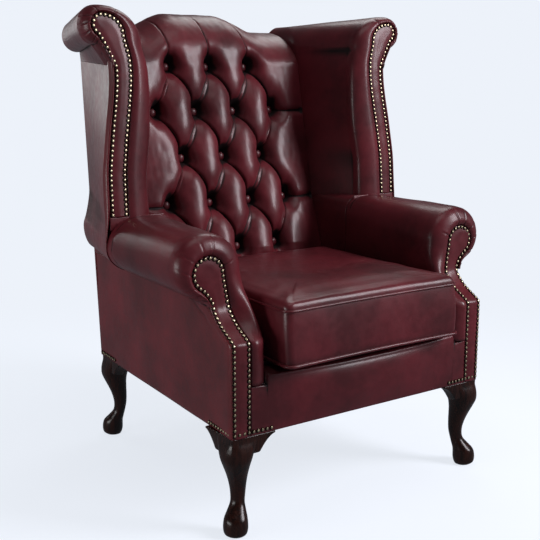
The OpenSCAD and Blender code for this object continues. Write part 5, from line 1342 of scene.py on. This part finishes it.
def seen_rays(tree):
    """The camera's rays, and all rays that show a background: those, and the rays of gloss and glass."""
    path = put(tree, "ShaderNodeLightPath")
    gloss = put(tree, "ShaderNodeMath", {"operation": "MAXIMUM"}, _0=path.outputs["Is Glossy Ray"],
                _1=path.outputs["Is Transmission Ray"])
    seen = put(tree, "ShaderNodeMath", {"operation": "MAXIMUM"}, _0=path.outputs["Is Camera Ray"],
               _1=gloss.outputs[0])
    return path.outputs["Is Camera Ray"], seen.outputs[0]


def backdrop_floor():
    """A floor that keeps the shadow near the chair and runs out into the backdrop."""
    mesh = bpy.data.meshes.new("floor")
    ring = [(30 * math.cos(a), 30 * math.sin(a), 0) for a in np.linspace(0, 2 * np.pi, 65)[:-1]]
    mesh.from_pydata(ring, [], [list(range(64))])
    floor = placed("studio_floor", mesh)
    material, tree, where = new_material("pale_studio_floor")
    away = put(tree, "ShaderNodeVectorMath", {"operation": "LENGTH"}, _0=where).outputs["Value"]
    # The lit part gives way to the glow further out, so that no edge or horizon shows
    share = put(tree, "ShaderNodeMapRange", Value=away, From_Min=0.7, From_Max=1.9, To_Min=1.0, To_Max=0.0)
    near = share.outputs[0]
    grey = put(tree, "ShaderNodeMix", {"data_type": "RGBA"}, _0=near, _6=linear("#000000"),
               _7=linear("#868a8f"))
    matt = put(tree, "ShaderNodeBsdfDiffuse", Color=grey.outputs[2])
    rest = put(tree, "ShaderNodeMapRange", Value=near, To_Min=1.0, To_Max=1.0 - FLOOR_LIT)
    glow = put(tree, "ShaderNodeEmission", Color=linear(BACKDROP), Strength=rest.outputs[0])
    both = put(tree, "ShaderNodeAddShader", _0=matt.outputs[0], _1=glow.outputs[0])
    plain = put(tree, "ShaderNodeBsdfDiffuse", Color=linear("#9fa2a6"))
    mirrored = put(tree, "ShaderNodeEmission", Color=linear(MIRRORED), Strength=1.0)
    camera_ray, seen = seen_rays(tree)
    shown = put(tree, "ShaderNodeMixShader", _0=camera_ray, _1=mirrored.outputs[0], _2=both.outputs[0])
    pick = put(tree, "ShaderNodeMixShader", _0=seen, _1=plain.outputs[0], _2=shown.outputs[0])
    put(tree, "ShaderNodeOutputMaterial", Surface=pick.outputs[0])
    floor.data.materials.append(material)


def studio_world():
    """A pale backdrop, and a greyer room that darkens towards its ceiling in what the polish mirrors."""
    world = bpy.data.worlds.new("studio")
    bpy.context.scene.world = world
    world.use_nodes = True
    tree = world.node_tree
    tree.nodes.clear()
    upward = put(tree, "ShaderNodeTexCoord").outputs["Generated"]
    height = put(tree, "ShaderNodeSeparateXYZ", Vector=upward).outputs["Z"]
    wall = put(tree, "ShaderNodeValToRGB", stops=((0.0, MIRRORED), (0.25, "#484b50"), (0.7, "#36383c")),
               Fac=height)
    plain = put(tree, "ShaderNodeBackground", Color=linear(BACKDROP), Strength=1.0)
    room = put(tree, "ShaderNodeBackground", Color=wall.outputs[0], Strength=1.0)
    lit = put(tree, "ShaderNodeBackground", Color=linear("#dfe6f0"), Strength=0.1)
    camera_ray, seen = seen_rays(tree)
    shown = put(tree, "ShaderNodeMixShader", _0=camera_ray, _1=room.outputs[0], _2=plain.outputs[0])
    pick = put(tree, "ShaderNodeMixShader", _0=seen, _1=lit.outputs[0], _2=shown.outputs[0])
    put(tree, "ShaderNodeOutputWorld", Surface=pick.outputs[0])


def softbox(name, place, target, size, power, colour="#ffffff"):
    """A lamp with a broad rectangular face, turned to its target."""
    data = bpy.data.lights.new(name, "AREA")
    data.shape = "RECTANGLE"
    data.size, data.size_y = size
    data.energy = power
    data.color = linear(colour)[:3]
    lamp = placed(name, data)
    lamp.location = place
    lamp.rotation_mode = "QUATERNION"
    lamp.rotation_quaternion = (Vector(target) - Vector(place)).to_track_quat("-Z", "Y")
    lamp.visible_camera = False


def photo_camera(place, focal, azimuth, dip):
    """The camera of the photo: place in metres, focal length in millimetres, angles in degrees."""
    lens = bpy.data.cameras.new("camera")
    lens.lens, lens.sensor_width = focal, 36.0
    camera = placed("camera", lens)
    camera.location = place
    turn, dip = math.radians(azimuth), math.radians(dip)
    aim = Vector((math.sin(turn) * math.cos(dip), math.cos(turn) * math.cos(dip), -math.sin(dip)))
    camera.rotation_mode = "QUATERNION"
    camera.rotation_quaternion = aim.to_track_quat("-Z", "Y")
    bpy.context.scene.camera = camera


backdrop_floor()
studio_world()
softbox("key_softbox", (2.0, -2.4, 2.2), (0, 0, 0.7), (1.1, 2.0), 126, "#f8f4fa")
softbox("left_softbox", (-2.9, 0.1, 0.65), (0, 0, 0.5), (1.8, 0.8), 30)
softbox("top_softbox", (-0.2, -0.5, 3.0), (0, 0, 0.5), (1.5, 1.5), 12)
softbox("rear_left_panel", (-0.75, 2.2, 1.2), (-0.42, 0.2, 0.9), (0.9, 0.8), 7)
softbox("rear_softbox", (1.2, 1.1, 2.5), (0, -0.2, 0.5), (1.1, 1.1), 13)
photo_camera((-1.31108, -1.87202, 0.91653), 64.304, 35.0, 11.44)
bpy.context.scene.view_settings.view_transform = "Standard"
